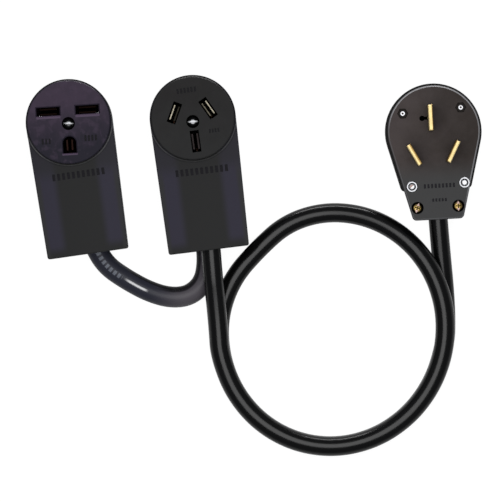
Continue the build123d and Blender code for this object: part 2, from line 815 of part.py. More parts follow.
with BuildPart() as plug_shell:
    with BuildSketch(plug_frame):
        add(tombstone(shell_radius, shell_length, shell_end_half, shell_corner))
    extrude(amount=shell_height)
    chamfer(plug_shell.edges().group_by(Axis.Z)[0], length=shell_chamfer)
    with BuildSketch(plug_frame.offset(shell_floor)):
        inner_half = shell_end_half - shell_wall
        add(tombstone(shell_radius - shell_wall, shell_length - shell_wall, inner_half, shell_corner))
    extrude(amount=shell_height - shell_floor, mode=Mode.SUBTRACT)
    with BuildSketch(plug_frame.offset(shell_floor)):
        for spot in body_screw_spots:
            with Locations(spot):
                Circle(body_boss_radius)
    extrude(amount=shell_height - shell_floor)
    with BuildSketch(plug_frame.offset(shell_floor)):
        for spot in plug_blocks:
            with Locations(spot):
                Rectangle(root_long - 2 * pedestal_inset, root_deep - 2 * pedestal_inset)
    extrude(amount=shell_height - root_tall - shell_floor)
    with BuildSketch(plug_frame):
        for spot in body_screw_spots:
            with Locations(spot):
                Circle(body_screw_radius + screw_run)
    extrude(amount=shell_height, mode=Mode.SUBTRACT)
    with BuildSketch(plug_frame):
        for spot in body_screw_spots:
            with Locations(spot):
                Circle(body_screw_head_radius + slip)
    extrude(amount=body_screw_head_height + slip, mode=Mode.SUBTRACT)
    with BuildSketch(end_plane(plug_frame, 0, 2 * shell_wall - shell_length, shell_height)):
        Rectangle(2 * (main_radius + cord_clearance), 2 * (shell_height - plug_cord_z))
    extrude(amount=2 * shell_wall, mode=Mode.SUBTRACT)
    add(main_at_plug, mode=Mode.SUBTRACT)
save(plug_shell, "plug_back_shell")

with BuildPart() as plug_plate:
    with BuildSketch(plug_frame.offset(shell_height)):
        add(tombstone(plate_radius, plate_length, plate_end_half, plate_corner))
    extrude(amount=plate_thick)
    chamfer(plug_plate.edges().group_by(Axis.Z)[-1], length=plate_chamfer)
    with BuildSketch(plug_frame.offset(shell_height)):
        for x, y, width, turn in plug_blades.values():
            with Locations(Location((x, y), turn)):
                Rectangle(blade_thick + 2 * blade_fit, width + 2 * blade_fit)
        for spot in body_screw_spots + clamp_spots:
            with Locations(spot):
                Circle(body_screw_radius + screw_run)
    extrude(amount=plate_thick, mode=Mode.SUBTRACT)
    with BuildSketch(plug_frame.offset(plate_top_z)):
        for spot in upper_spots:
            with Locations(spot):
                RegularPolygon(nut_across / 2 + nut_play, 6, major_radius=False)
    extrude(amount=-nut_pocket_depth, mode=Mode.SUBTRACT)
    with BuildSketch(plug_frame.offset(plate_top_z)):
        for spot in lower_spots:
            with Locations(spot):
                Circle(eyelet_radius + slip)
    extrude(amount=-eyelet_seat, mode=Mode.SUBTRACT)
    with BuildSketch(plug_frame.offset(plate_top_z)):
        for spot in lower_spots:
            with Locations(spot):
                Circle(eyelet_bore_radius)
    extrude(amount=-nut_pocket_depth, mode=Mode.SUBTRACT)
    with BuildSketch(plug_frame.offset(plate_top_z)):
        for spot in clamp_spots:
            with Locations(spot):
                Circle(plug_clamp_head_radius + plug_clamp_play)
    extrude(amount=-plug_clamp_recess, mode=Mode.SUBTRACT)
    with BuildSketch(plug_frame.offset(plate_top_z)):
        with Locations((blade_shift - key_hole_x, neutral_y)):
            Circle(key_hole_radius)
        with Locations((blade_shift - key_hole_x / 2 - blade_thick / 4, neutral_y)):
            Rectangle(key_hole_x - blade_thick / 2, key_hole_neck)
    extrude(amount=-key_hole_depth, mode=Mode.SUBTRACT)
save(plug_plate, "plug_front_plate")

for side_name, (x, y, width, turn) in plug_blades.items():
    screw_side = 1 if side_name == "right" else -1
    with BuildPart() as blade:
        with BuildSketch(plug_frame.offset(shell_height - root_tall)):
            with Locations((x, y)):
                Rectangle(root_long, root_deep)
        extrude(amount=root_tall)
        with BuildSketch(plug_frame.offset(shell_height)):
            with Locations(Location((x, y), turn)):
                Rectangle(blade_thick, width)
        extrude(amount=plate_thick + blade_reach)
        tip = blade.faces().group_by(Axis.Z)[-1].edges()
        chamfer(tip, length=blade_tip_chamfer)
        with BuildSketch(end_plane(plug_frame, x, y, root_bore_z)):
            Circle(copper_radius + cord_clearance)
        extrude(amount=root_deep / 2, mode=Mode.SUBTRACT)
        with BuildSketch(side_plane(plug_frame, x, y - root_deep / 4, root_bore_z, screw_side)):
            Circle(terminal_screw_radius + screw_run)
        extrude(amount=root_long / 2, mode=Mode.SUBTRACT)
    save(blade, f"plug_{side_name}_blade")

save(
    terminal_screws(plug_frame, plug_blocks, sides, [root_bore_z], root_long, root_deep),
    "plug_terminal_screws",
)

with BuildPart() as body_screws:
    with BuildSketch(plug_frame.offset(slip)):
        for spot in body_screw_spots:
            with Locations(spot):
                Circle(body_screw_head_radius)
    extrude(amount=body_screw_head_height)
    with BuildSketch(plug_frame.offset(slip)):
        for spot in body_screw_spots:
            with Locations(spot):
                Circle(body_screw_radius)
    extrude(amount=plate_top_z - 2 * slip)
    chamfer(body_screws.edges().group_by(Axis.Z)[-1], length=body_screw_tip)
    with BuildSketch(plug_frame.offset(plate_top_z - slip)):
        for spot in body_screw_spots:
            with Locations(spot):
                Circle(body_screw_dimple)
    extrude(amount=-body_screw_dimple, mode=Mode.SUBTRACT)
save(body_screws, "plug_body_screws")

with BuildPart() as hex_nuts:
    with BuildSketch(plug_frame.offset(plate_top_z - nut_pocket_depth)):
        for spot in upper_spots:
            with Locations(spot):
                RegularPolygon(nut_across / 2, 6, major_radius=False)
                Circle(body_screw_radius + screw_run, mode=Mode.SUBTRACT)
    extrude(amount=nut_thick)
save(hex_nuts, "plug_hex_nuts")

with BuildPart() as eyelets:
    with BuildSketch(plug_frame.offset(plate_top_z - eyelet_seat)):
        for spot in lower_spots:
            with Locations(spot):
                Circle(eyelet_radius)
                Circle(eyelet_bore_radius, mode=Mode.SUBTRACT)
    extrude(amount=eyelet_thick)
    fillet(eyelets.edges().group_by(Axis.Z)[-1], radius=eyelet_round)
save(eyelets, "plug_eyelets")

with BuildPart() as clamp_bar:
    with BuildSketch(plug_frame.offset(bar_bottom)):
        with Locations((0, plug_clamp_y)):
            RectangleRounded(2 * bar_half_length, bar_depth, bar_corner)
    extrude(amount=bar_top - bar_bottom)
    with BuildSketch(plug_frame.offset(bar_top)):
        with Locations(*clamp_spots):
            Circle(body_boss_radius)
    extrude(amount=shell_height - bar_top)
    with BuildSketch(plug_frame.offset(bar_bottom)):
        with Locations(*clamp_spots):
            Circle(plug_clamp_shank_radius + screw_run)
    extrude(amount=shell_height - bar_bottom, mode=Mode.SUBTRACT)
    add(main_at_plug, mode=Mode.SUBTRACT)
save(clamp_bar, "plug_clamp_bar")


def plug_clamp_screw(spot, slot_turn):
    """Cross-head screw down through the front plate into the clamp bar."""
    seat = plate_top_z - plug_clamp_recess + screw_run
    with BuildPart() as screw:
        with BuildSketch(plug_frame.offset(seat)):
            with Locations(spot):
                Circle(plug_clamp_head_radius)
        extrude(amount=plug_clamp_head_height)
        fillet(screw.edges().group_by(Axis.Z)[-1], radius=plug_clamp_head_round)
        with BuildSketch(plug_frame.offset(seat)):
            with Locations(spot):
                Circle(plug_clamp_shank_radius)
        extrude(amount=bar_bottom + screw_end_gap - seat)
        with BuildSketch(plug_frame.offset(seat + plug_clamp_head_height)):
            with Locations(Location(spot, slot_turn), Location(spot, slot_turn + 90)):
                Rectangle(cross_length, cross_width)
        extrude(amount=-cross_depth, mode=Mode.SUBTRACT)
    return screw


save(plug_clamp_screw(clamp_spots[0], 25), "plug_left_clamp_screw")
save(plug_clamp_screw(clamp_spots[1], 12), "plug_right_clamp_screw")

plug_left, plug_right, plug_top = plug_blocks
plug_targets = [
    (plug_left[0], plug_left[1] - root_deep / 2, root_bore_z),
    (plug_top[0], plug_top[1] - root_deep / 2, root_bore_z),
    (plug_right[0], plug_right[1] - root_deep / 2, root_bore_z),
]
save(wire_cores(plug_frame, main_route[::-1], plug_targets), "plug_wire_cores")
save(wire_ends(plug_frame, plug_targets), "plug_wire_ends")

# ------------------------------------------------------------------ cords
for cord_name, route, radius in (
    ("main_cord", main_route, main_radius),
    ("branch_cord", branch_route, branch_radius),
):
    cord = tube(route, radius)
    save(cord, cord_name)
    print(cord_name, "radii", [round(value) for value in arc_radii(route)])
    by_volume = cord.part.volume / (pi * radius**2)
    print(cord_name, "length", round(route_length(route), 1), "by volume", round(by_volume, 1))
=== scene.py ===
import math

import bpy
from mathutils import Matrix, Vector


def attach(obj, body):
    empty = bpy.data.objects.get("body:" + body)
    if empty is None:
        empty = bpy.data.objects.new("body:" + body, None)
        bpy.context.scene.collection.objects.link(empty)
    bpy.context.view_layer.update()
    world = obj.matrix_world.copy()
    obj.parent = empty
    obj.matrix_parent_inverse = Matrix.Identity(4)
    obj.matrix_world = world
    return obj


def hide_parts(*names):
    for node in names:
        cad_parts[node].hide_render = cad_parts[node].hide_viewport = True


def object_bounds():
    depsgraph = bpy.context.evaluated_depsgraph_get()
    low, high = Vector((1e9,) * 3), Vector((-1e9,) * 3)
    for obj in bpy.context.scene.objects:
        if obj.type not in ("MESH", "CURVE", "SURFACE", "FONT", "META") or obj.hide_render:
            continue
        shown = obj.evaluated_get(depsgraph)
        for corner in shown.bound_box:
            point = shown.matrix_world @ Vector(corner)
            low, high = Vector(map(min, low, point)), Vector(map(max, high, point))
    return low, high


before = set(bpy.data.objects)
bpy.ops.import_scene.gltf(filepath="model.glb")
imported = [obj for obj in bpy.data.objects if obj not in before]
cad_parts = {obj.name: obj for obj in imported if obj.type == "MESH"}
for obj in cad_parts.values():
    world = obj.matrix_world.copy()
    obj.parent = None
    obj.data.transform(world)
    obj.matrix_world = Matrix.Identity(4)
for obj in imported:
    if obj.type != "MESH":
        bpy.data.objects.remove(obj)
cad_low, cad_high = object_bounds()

bl_info = {
    "name": "Two-Outlet Power Adapter",
    "version": (1, 0, 0),
    "blender": (4, 5, 0),
    "location": "3D View > Sidebar > Power Adapter",
    "description": "Dresses the adapter's housings, plug and cords and sets them in a plain studio",
    "category": "Object",
}

MM = 0.001

# Heights above the floor and lengths of the solids, in millimetres.
HOUSING_END = -84.3  # the outlets' cord ends, from the centre of the round end
COVER_FRONT = 38.5  # middle of the covers' crowned fronts
CROWN_RADIUS = 256  # of the front's curve from side to side
BEAD_TOP = 40.2  # bead round each face
FACE_TOP = 44.8
COVER_SCREW_TOP = 39.75
RANGE_CONTACT_TOP = 39.5
WELDER_CONTACT_TOP = 36.3
PLATE_TOP = 32.0  # front of the plug's plate

LOOP_CENTRE = (49.5, -103.2)
LOOP_RADIUS = 74.2
UPPER_STRAND = 18.8  # height of the cord's middle where it lies on the strand below
LOWER_STRAND = 6.25  # and where it lies on the floor


def paint(red, green, blue):
    """A colour given from 0 to 255, as a maker reads it off a swatch, turned to linear light."""

    def linear(level):
        level = level / 255
        return level / 12.92 if level <= 0.04045 else ((level + 0.055) / 1.055) ** 2.4

    return (linear(red), linear(green), linear(blue))


# ---------------------------------------------------------------- where the housings lie


class Lie:
    """Where a housing lies on the floor: the centre of its round end, and its turn in degrees."""

    def __init__(self, x, y, turn):
        self.centre = Vector((x * MM, y * MM, 0))
        self.turn = math.radians(turn)

    def matrix(self):
        return Matrix.Translation(self.centre) @ Matrix.Rotation(self.turn, 4, "Z")

    def place(self, x, y, z):
        """A point given in millimetres on the housing, as a place in the shared frame in metres."""
        return self.matrix() @ Vector((x * MM, y * MM, z * MM))

    def past_end(self, x, beyond, z):
        """A point past the housing's cord end."""
        return self.place(x, HOUSING_END - beyond, z)

    def inner(self, x, y, turn):
        """The place of something moulded a little off the round end's centre, and turned."""
        centre = self.place(x, y, 0) / MM
        return Lie(centre.x, centre.y, math.degrees(self.turn) + turn)


WELDER = Lie(-117.6, 28.3, 8.2)
WELDER_FACE = WELDER.inner(-0.3, -0.9, -4.8)
RANGE = Lie(-39.1, 30.9, 7.0)
RANGE_FACE = RANGE.inner(-0.2, -2.3, 1.0)
PLUG = Lie(113.8, 22.6, 3.1)

# ---------------------------------------------------------------- the cords' routes


def coil_point(angle):
    """A point of the main cord's big loop, at an angle in degrees round it. The loop is slightly oval, is
    drawn in beside the range outlet's corner, and comes down to the floor on its second time round."""
    draw = 1 - 0.054 * math.exp(-(((angle - 495) / 18) ** 2))
    reach = draw * (LOOP_RADIUS + 1.5 * math.cos(math.radians(2 * (angle - 76))))
    drop = min(max((angle - 400) / 75, 0), 1)
    ease = drop * drop * (3 - 2 * drop)
    x = LOOP_CENTRE[0] + reach * math.cos(math.radians(angle))
    y = LOOP_CENTRE[1] + reach * math.sin(math.radians(angle))
    return Vector((x, y, UPPER_STRAND + (LOWER_STRAND - UPPER_STRAND) * ease)) * MM


def main_route():
    """The main cord, from the range outlet's clamp round the loop into the plug's shell."""
    return (
        [
            RANGE.place(1.4, -61.0, 25.4),
            RANGE.place(1.6, -79.0, 25.3),
            RANGE.past_end(0.6, 14.1, 24.6),
            RANGE.past_end(0.2, 32.7, 21.2),
            Vector((-22.9, -103.6, UPPER_STRAND)) * MM,
        ]
        + [coil_point(193 + 20 * step) for step in range(27)]
        + [
            Vector((122.1, -95.5, LOWER_STRAND)) * MM,
            Vector((121.1, -77.5, 6.55)) * MM,
            Vector((119.3, -59.5, 8.9)) * MM,
            PLUG.place(0.2, -60.0, 12.2),
            PLUG.place(0.0, -46.0, 13.7),
            PLUG.place(0.0, -32.5, 13.7),
        ]
    )


def branch_route():
    """The branch cord, from the welder outlet's clamp across the floor to the range outlet's."""
    return [
        WELDER.place(-1.5, -61.0, 11.9),
        WELDER.place(4.2, -79.0, 11.6),
        WELDER.past_end(9.7, 8.6, 9.7),
        WELDER.past_end(21.0, 19.2, 7.6),
        WELDER.past_end(34.5, 29.3, 6.9),
        WELDER.past_end(47.6, 35.2, 6.8),
        RANGE.past_end(-15.9, 27.3, 6.9),
        RANGE.past_end(-6.2, 20.4, 7.9),
        RANGE.past_end(-2.2, 9.1, 9.9),
        RANGE.place(-1.3, -79.0, 11.6),
        RANGE.place(-1.3, -61.0, 11.9),
    ]


# ---------------------------------------------------------------- sizes and colours to change


def length_setting(name, description, default, low, high):
    """A length in metres that a user may change in the sidebar."""
    return bpy.props.FloatProperty(
        name=name,
        description=description,
        default=default,
        min=low,
        max=high,
        unit="LENGTH",
        subtype="DISTANCE",
    )


def power_setting(name, description, default):
    """A lamp's power in watts."""
    return bpy.props.FloatProperty(
        name=name, description=description, default=default, min=0, max=500, unit="POWER"
    )


def colour_setting(name, description, default):
    """A colour in linear light."""
    return bpy.props.FloatVectorProperty(
        name=name, description=description, default=default, subtype="COLOR", min=0, max=1
    )


class CordSizes(bpy.types.PropertyGroup):
    """The two cords' thickness."""

    main_radius: length_setting(
        "Main cord radius", "Half the thickness of the long black cord", 6.2 * MM, 2 * MM, 12 * MM
    )
    branch_radius: length_setting(
        "Branch cord radius", "Half the thickness of the cord between the outlets", 6.7 * MM, 2 * MM, 12 * MM
    )


class PlasticColours(bpy.types.PropertyGroup):
    """The colours of the moulded parts and of the cords' jackets."""

    housing: colour_setting("Housing", "Middle of the outlets' housings", paint(37, 37, 37))
    # The flank colour is a painted sheen along the housings' sides.
    flank: colour_setting("Housing sides", "Bluish tone along the housings' sides", paint(47, 45, 56))
    # The welder face's two colours paint light: paler towards its far side.
    welder_low: colour_setting("Welder face, low", "Face of the welder outlet, cord side", paint(32, 30, 40))
    welder_top: colour_setting("Welder face, top", "Face of the welder outlet, far side", paint(59, 49, 63))
    range_low: colour_setting("Range face, low", "Face of the range outlet, cord side", paint(37, 37, 37))
    range_top: colour_setting("Range face, top", "Face of the range outlet, far side", paint(34, 33, 33))
    plate_left: colour_setting("Plug plate, left", "Left side of the plug's plate", paint(68, 61, 60))
    plate_right: colour_setting("Plug plate, right", "Right side of the plug's plate", paint(50, 44, 41))
    plate_tail: colour_setting("Plug plate, tail", "Cord end of the plug's plate", paint(62, 62, 62))
    plug_shell: colour_setting("Plug shell", "Back shell of the plug", paint(26, 26, 26))
    main_jacket: colour_setting("Main jacket", "Jacket of the long cord", paint(7, 7, 7))
    branch_jacket: colour_setting("Branch jacket", "Jacket of the short cord", paint(42, 43, 52))
    dashes: colour_setting("Dashes", "Raised dashes on the housings and faces", paint(22, 21, 24))


class MetalColours(bpy.types.PropertyGroup):
    """The colours of blades, contacts and fasteners."""

    blade: colour_setting("Blades", "Brass of the plug's blades", (0.42, 0.33, 0.155))
    contact: colour_setting("Contacts", "Brass of the outlets' contacts", (0.08, 0.073, 0.056))
    yellow_brass: colour_setting("Clamp screws", "Brass of the clamp screws", (0.48, 0.34, 0.12))
    steel: colour_setting("Steel", "Plated steel of screws and eyelets", (0.39, 0.395, 0.41))
    copper: colour_setting("Copper", "Bare strands of the wires", (0.05, 0.026, 0.017))


class StudioSettings(bpy.types.PropertyGroup):
    """The floor, the lamps and the camera."""

    camera_height: length_setting("Camera height", "Height of the camera above the floor", 5.0, 1, 20)
    view_width: length_setting("View width", "Width that the camera takes in", 0.3188, 0.05, 2)
    floor: colour_setting("Floor", "Colour of the studio floor", (0.6, 0.6, 0.6))
    key_power: power_setting("Softbox power", "Power of the softbox over the adapter", 8.0)
    strip_power: power_setting("Strip power", "Power of the low strip lamp behind the adapter", 4.5)


# ---------------------------------------------------------------- shader arithmetic


class Wire:
    """One value inside a finish. Arithmetic on it adds Math nodes."""

    def __init__(self, finish, socket):
        self.finish = finish
        self.socket = socket

    def _with(self, operation, *values):
        return self.finish.add("Math", {"operation": operation}, dict(enumerate(values)))

    def __add__(self, other):
        return self._with("ADD", self, other)

    def __radd__(self, other):
        return self._with("ADD", other, self)

    def __sub__(self, other):
        return self._with("SUBTRACT", self, other)

    def __rsub__(self, other):
        return self._with("SUBTRACT", other, self)

    def __mul__(self, other):
        return self._with("MULTIPLY", self, other)

    def __rmul__(self, other):
        return self._with("MULTIPLY", other, self)

    def __pow__(self, other):
        return self._with("POWER", self, other)

    def __abs__(self):
        return self._with("ABSOLUTE", self)

    def wave(self):
        return self._with("SINE", self)

    def step_up(self, start, end):
        """0 at start, 1 at end, smooth between them and level past both. Start may be the higher one."""
        return self.finish.add(
            "MapRange",
            {"interpolation_type": "SMOOTHSTEP"},
            {"Value": self, "From Min": start, "From Max": end},
        )


class Finish:
    """A material made of nodes, with its shader's plain values set on its own sockets."""

    def __init__(self, name, **values):
        self.material = bpy.data.materials.new(name)
        self.material.use_nodes = True
        self.tree = self.material.node_tree
        self.shader = self.tree.nodes["Principled BSDF"]
        self.show(**values)

    def put(self, socket, value):
        """Links a wire to a socket, or sets the socket's own value."""
        if isinstance(value, Wire):
            self.tree.links.new(value.socket, socket)
        elif socket.type == "RGBA" and len(value) == 3:
            socket.default_value = (*value, 1)
        else:
            socket.default_value = value

    def add(self, kind, settings=None, values=None, output=0):
        """Adds a node of a kind, sets it, fills its sockets and gives the wire from one output."""
        node = self.tree.nodes.new("ShaderNode" + kind)
        for name, value in (settings or {}).items():
            setattr(node, name, value)
        for socket, value in (values or {}).items():
            self.put(node.inputs[socket], value)
        return Wire(self, node.outputs[output])

    def where(self, lie=None, stretch=None):
        """Object coordinates, or the same laid along a housing, stretched for a drawn-out grain."""
        here = self.add("TexCoord", output="Object")
        if lie is not None:
            here = self.add(
                "Mapping",
                {"vector_type": "TEXTURE"},
                {"Vector": here, "Location": lie.centre, "Rotation": (0, 0, lie.turn)},
            )
        return self.stretch(here, stretch) if stretch else here

    def axis(self, here, letter):
        """One coordinate of a place."""
        return self.add("SeparateXYZ", None, {0: here}, output="XYZ".index(letter))

    def reach(self, here):
        """The distance from a housing's upright middle line."""
        across = self.axis(here, "X")
        along = self.axis(here, "Y")
        return (across * across + along * along) ** 0.5

    def edges(self):
        """1 on the upper chamfers and rounded edges, and 0 on flat tops and upright walls."""
        rise = self.axis(self.add("TexCoord", output="Normal"), "Z")
        return rise.step_up(0.2, 0.45) * (1 - rise.step_up(0.86, 0.96))

    def stretch(self, here, factors):
        """A place with each of its coordinates multiplied."""
        return self.add("VectorMath", {"operation": "MULTIPLY"}, {0: here, 1: factors})

    def noise(self, here, scale, detail=2.0, roughness=0.5):
        """Soft noise from 0 to 1."""
        return self.add(
            "TexNoise", None, {"Vector": here, "Scale": scale, "Detail": detail, "Roughness": roughness}
        )

    def blend(self, mask, first, second):
        """One colour that turns into another where the mask is 1."""
        return self.add(
            "Mix", {"data_type": "RGBA", "clamp_factor": True}, {0: mask, 6: first, 7: second}, output=2
        )

    def bump(self, height, distance, strength=1.0):
        """Feeds the shader's normal from a height."""
        lift = self.add("Bump", None, {"Height": height, "Distance": distance, "Strength": strength})
        self.put(self.shader.inputs["Normal"], lift)

    def show(self, **values):
        """Feeds the shader's sockets by name."""
        for socket, value in values.items():
            self.put(self.shader.inputs[socket.replace("_", " ")], value)
        return self.material


def shade(colour, factor):
    """A lighter or darker tone of a colour."""
    return tuple(min(1.0, level * factor) for level in colour)


# ---------------------------------------------------------------- finishes


def housing_finish(name, lie, middle, flank, gloss=0.56, bead=2.3):
    """Spark-eroded black plastic: fine grain, a bluish painted sheen along both sides that ends short of the
    edges and, on the lower part, gives way to a paler neutral tone at them, faint handling marks, and a
    painted highlight that makes a cover's bead paler by a factor towards its lower left and right."""
    finish = Finish(name, Specular_IOR_Level=0.09, Coat_Roughness=0.3)
    here = finish.where(lie)
    along = finish.axis(here, "Y")
    across = abs(finish.axis(here, "X"))
    # Painted sheen: the crowned front's sides catch other light, painted as a bluish tone.
    side = across.step_up(11.0 * MM, 16.5 * MM)
    side = side * along.step_up(-83 * MM, -76 * MM) * (1 - 0.6 * along.step_up(-38 * MM, -26 * MM))
    # Painted highlight on the bead round a face, paler towards its lower left and right.
    high = finish.axis(here, "Z").step_up((BEAD_TOP - 0.5) * MM, (BEAD_TOP - 0.35) * MM)
    rim = finish.reach(here).step_up(27.1 * MM, 27.35 * MM) * high
    rim = rim * along.step_up(8 * MM, -2 * MM) * (0.3 + 0.7 * across.step_up(12 * MM, 22 * MM))
    grain = finish.noise(here, 2600, 3)
    cloud = finish.noise(here, 90, 3)
    wear_and_highlight = finish.noise(here, 420, 4, 0.6).step_up(0.3, 0.7)
    plain = finish.blend(cloud, shade(middle, 0.9), shade(middle, 1.12))
    tinted = finish.blend(cloud, shade(flank, 0.95), shade(flank, 1.08))
    tone = finish.blend(side, plain, tinted)
    # Painted sheen: a paler neutral tone near the lower part's edges.
    outer = across.step_up(22 * MM, 24.5 * MM) * along.step_up(-28 * MM, -40 * MM)
    tone = finish.blend(0.85 * outer, tone, shade(middle, 1.5))
    tone = finish.blend(rim * (0.5 + 0.5 * wear_and_highlight), tone, shade(middle, bead))
    finish.bump(grain + 0.4 * finish.noise(here, 900, 2), 0.03 * MM, 0.5)
    return finish.show(
        Base_Color=tone,
        Roughness=gloss + 0.1 * (cloud - 0.5) + 0.08 * grain,
        Coat_Weight=0.03 * finish.edges() * wear_and_highlight,
    )


def face_finish(
    name,
    lie,
    colour,
    other,
    letter="Y",
    reach=22.0,
    gloss=0.6,
    floor=FACE_TOP,
    tail=None,
    painted_shading=None,
    lips=(),
):
    """Smooth moulded plastic that turns from one colour to the other along an axis, within a reach in
    millimetres; on the welder face this is painted light, paler towards its far side. It has painted
    shade below its floor. The tail colours a plate's cord end. A colour given for the outer edge paints
    a highlight on its chamfer, on all but its lower left. Without one, the lower chamfers of the slots
    are pale, a painted highlight, and so are the lips beside them: middle, height and half length on
    the face."""
    finish = Finish(name, Specular_IOR_Level=0.09, Coat_Roughness=0.25)
    here = finish.where(lie)
    top = finish.axis(here, "Z").step_up((floor - 1.6) * MM, (floor - 0.2) * MM)
    edge = finish.edges() * top
    grain = finish.noise(here, 3400, 2)
    cloud = finish.noise(here, 110, 4, 0.6)
    scuff = finish.noise(finish.where(lie, (700, 70, 70)), 1.0, 3, 0.65).step_up(0.6, 0.75)
    # side: from one colour to the other; on the welder face this is painted light.
    side = finish.axis(here, letter).step_up(-reach * MM, reach * MM)
    tone = finish.blend(side + 1.1 * (cloud - 0.5), colour, other)
    if tail is not None:
        tone = finish.blend(finish.axis(here, "Y").step_up(-16 * MM, -34 * MM), tone, tail)
    tone = finish.blend(0.22 * scuff, tone, shade(other, 2.0))
    outer = finish.reach(here).step_up(22.5 * MM, 24 * MM)
    if painted_shading is None:
        flow = finish.noise(here, 230, 3, 0.55).step_up(0.5, 0.64)
        tone = finish.blend(0.4 * flow, tone, shade(other, 1.2))
        # Painted highlight on the slots' lower chamfers, which face the far side, and on the lips below them;
        # the other chamfers take a tone of the first colour.
        lip = finish.axis(finish.add("TexCoord", output="Normal"), "Y").step_up(0.2, 0.6) * (1 - outer)
        tone = finish.blend(0.6 * edge * (1 - lip), tone, shade(colour, 1.1))
        tone = finish.blend(edge * lip, tone, shade(other, 1.8))
        for x, y, half in lips:
            flat = finish.where(WELDER_FACE)
            beside = abs(finish.axis(flat, "X") - x * MM).step_up((half + 0.3) * MM, (half - 0.3) * MM)
            below = abs(finish.axis(flat, "Y") - y * MM).step_up(0.8 * MM, 0.5 * MM)
            tone = finish.blend(beside * below, tone, shade(other, 1.8))
    else:
        # Painted highlight on the outer edge's chamfer, strongest away from its lower left.
        across = finish.axis(here, "X") + finish.axis(here, "Y")
        highlight_share = 0.25 + 0.6 * across.step_up(-36 * MM, -8 * MM)
        tone = finish.blend(edge * highlight_share, tone, painted_shading)
    # Painted shade below the floor, in the slots and holes.
    tone = finish.blend(top, shade(other, 0.08), tone)
    finish.bump(grain + 0.2 * scuff, 0.015 * MM, 0.4)
    return finish.show(
        Base_Color=tone,
        Roughness=1 - top * (1 - gloss - 0.12 * (cloud - 0.5) - 0.1 * scuff) + 0.3 * edge * (1 - outer),
        Coat_Weight=0.15 * edge * outer,
    )


def plate_finish(name, colours):
    """The plug's plate: paler and browner towards its left side."""
    return face_finish(
        name,
        PLUG,
        colours.plate_left,
        colours.plate_right,
        letter="X",
        reach=34.0,
        gloss=0.58,
        floor=PLATE_TOP,
        tail=colours.plate_tail,
        # Painted highlight on the plate's outer chamfer.
        painted_shading=(0.3, 0.3, 0.31),
    )


def jacket_finish(name, colour, gloss, gleam, printed=False):
    """Extruded vinyl: faint lines along the cord and slight waviness. A printed jacket has a row of plain
    dashes along its crest, a stretch past them that handling has polished, a dull paler tone towards its
    far end, and painted shade, black along the inner side of its bend."""
    finish = Finish(name, Specular_IOR_Level=gleam, Coat_Roughness=0.12, Coat_IOR=2.1)
    surface = finish.add("UVMap", {"uv_map": "UVMap"})
    here = finish.where()
    drawn = finish.noise(finish.stretch(surface, (90, 3, 1)), 1.0, 2)
    ripple = finish.noise(here, 260, 2)
    dust = finish.noise(here, 1400, 3, 0.6).step_up(0.62, 0.8)
    tone = finish.blend(dust * 0.12, colour, shade(colour, 3.0))
    if printed:
        along = finish.axis(surface, "X")
        round_it = finish.axis(surface, "Y")
        tone = finish.blend(0.85 * along.step_up(0.38, 0.6), tone, paint(84, 80, 85))
        # narrow and wide: painted shade along the inner side of the bend.
        narrow = (round_it.step_up(0.07, 0.04) + round_it.step_up(0.8, 0.88)) * along.step_up(0.24, 0.3)
        wide = round_it.step_up(0.125, 0.085) * along.step_up(0.4, 0.5)
        for band in (narrow, wide):
            tone = finish.blend(0.85 * band, tone, shade(colour, 0.1))
        row = round_it.step_up(0.160, 0.168) * (1 - round_it.step_up(0.232, 0.24))
        row = row * along.step_up(0.02, 0.022) * (1 - along.step_up(0.255, 0.257))
        dashes = (along * 270).wave().step_up(-0.45, -0.1) * row
        tone = finish.blend(dashes * (0.5 + 0.5 * finish.noise(here, 900, 2)), tone, paint(108, 112, 121))
        polished = along.step_up(0.262, 0.30) * (1 - along.step_up(0.365, 0.39))
        polished = polished * round_it.step_up(0.165, 0.185) * (1 - round_it.step_up(0.195, 0.225))
        finish.show(Coat_Weight=polished)
    finish.bump(0.6 * drawn + 0.4 * ripple, 0.01 * MM, 0.12)
    return finish.show(Base_Color=tone, Roughness=gloss + 0.05 * ripple + 0.1 * dust)


def rubber_finish(name, colour):
    """Soft rubber of the grommets."""
    finish = Finish(name, Specular_IOR_Level=0.2)
    here = finish.where()
    grain = finish.noise(here, 1800, 3)
    finish.bump(grain, 0.03 * MM, 0.5)
    return finish.show(
        Base_Color=finish.blend(grain, shade(colour, 0.8), shade(colour, 1.2)), Roughness=0.6 + 0.15 * grain
    )


def rolled_brass_finish(name, lie, colour, painted_shade_tone, side, start):
    """Rolled brass: fine lines along the rolling, cloudy tarnished patches, small nicks, a darker strip of
    painted shade along one side, from start outwards, and a painted highlight, paler and less metallic,
    on the other chamfers."""
    finish = Finish(name)
    here = finish.where(lie)
    lines = finish.noise(finish.where(lie, (5200, 380, 380)), 1.0, 3, 0.6)
    cloud = finish.noise(here, 210, 4, 0.6)
    nick = finish.noise(here, 1500, 2).step_up(0.68, 0.78)
    # Painted shade: a darker strip along one side.
    painted_shading = (side * finish.axis(here, "X")).step_up(start * MM, (start + 0.5) * MM)
    tone = finish.blend(cloud.step_up(0.35, 0.75), colour, shade(colour, 0.8))
    tone = finish.blend(painted_shading * (0.7 + 0.3 * cloud), tone, painted_shade_tone)
    tone = finish.blend(0.35 * nick, tone, shade(colour, 0.45))
    # Painted highlight on the chamfers outside that strip.
    painted_edge_highlight = finish.edges() * (1 - painted_shading)
    tone = finish.blend(painted_edge_highlight, tone, shade(colour, 1.7))
    finish.bump(0.7 * lines + 0.3 * nick, 0.01 * MM, 0.5)
    return finish.show(
        Base_Color=tone, Roughness=0.34 + 0.14 * lines + 0.12 * nick, Metallic=1 - 0.8 * painted_edge_highlight
    )


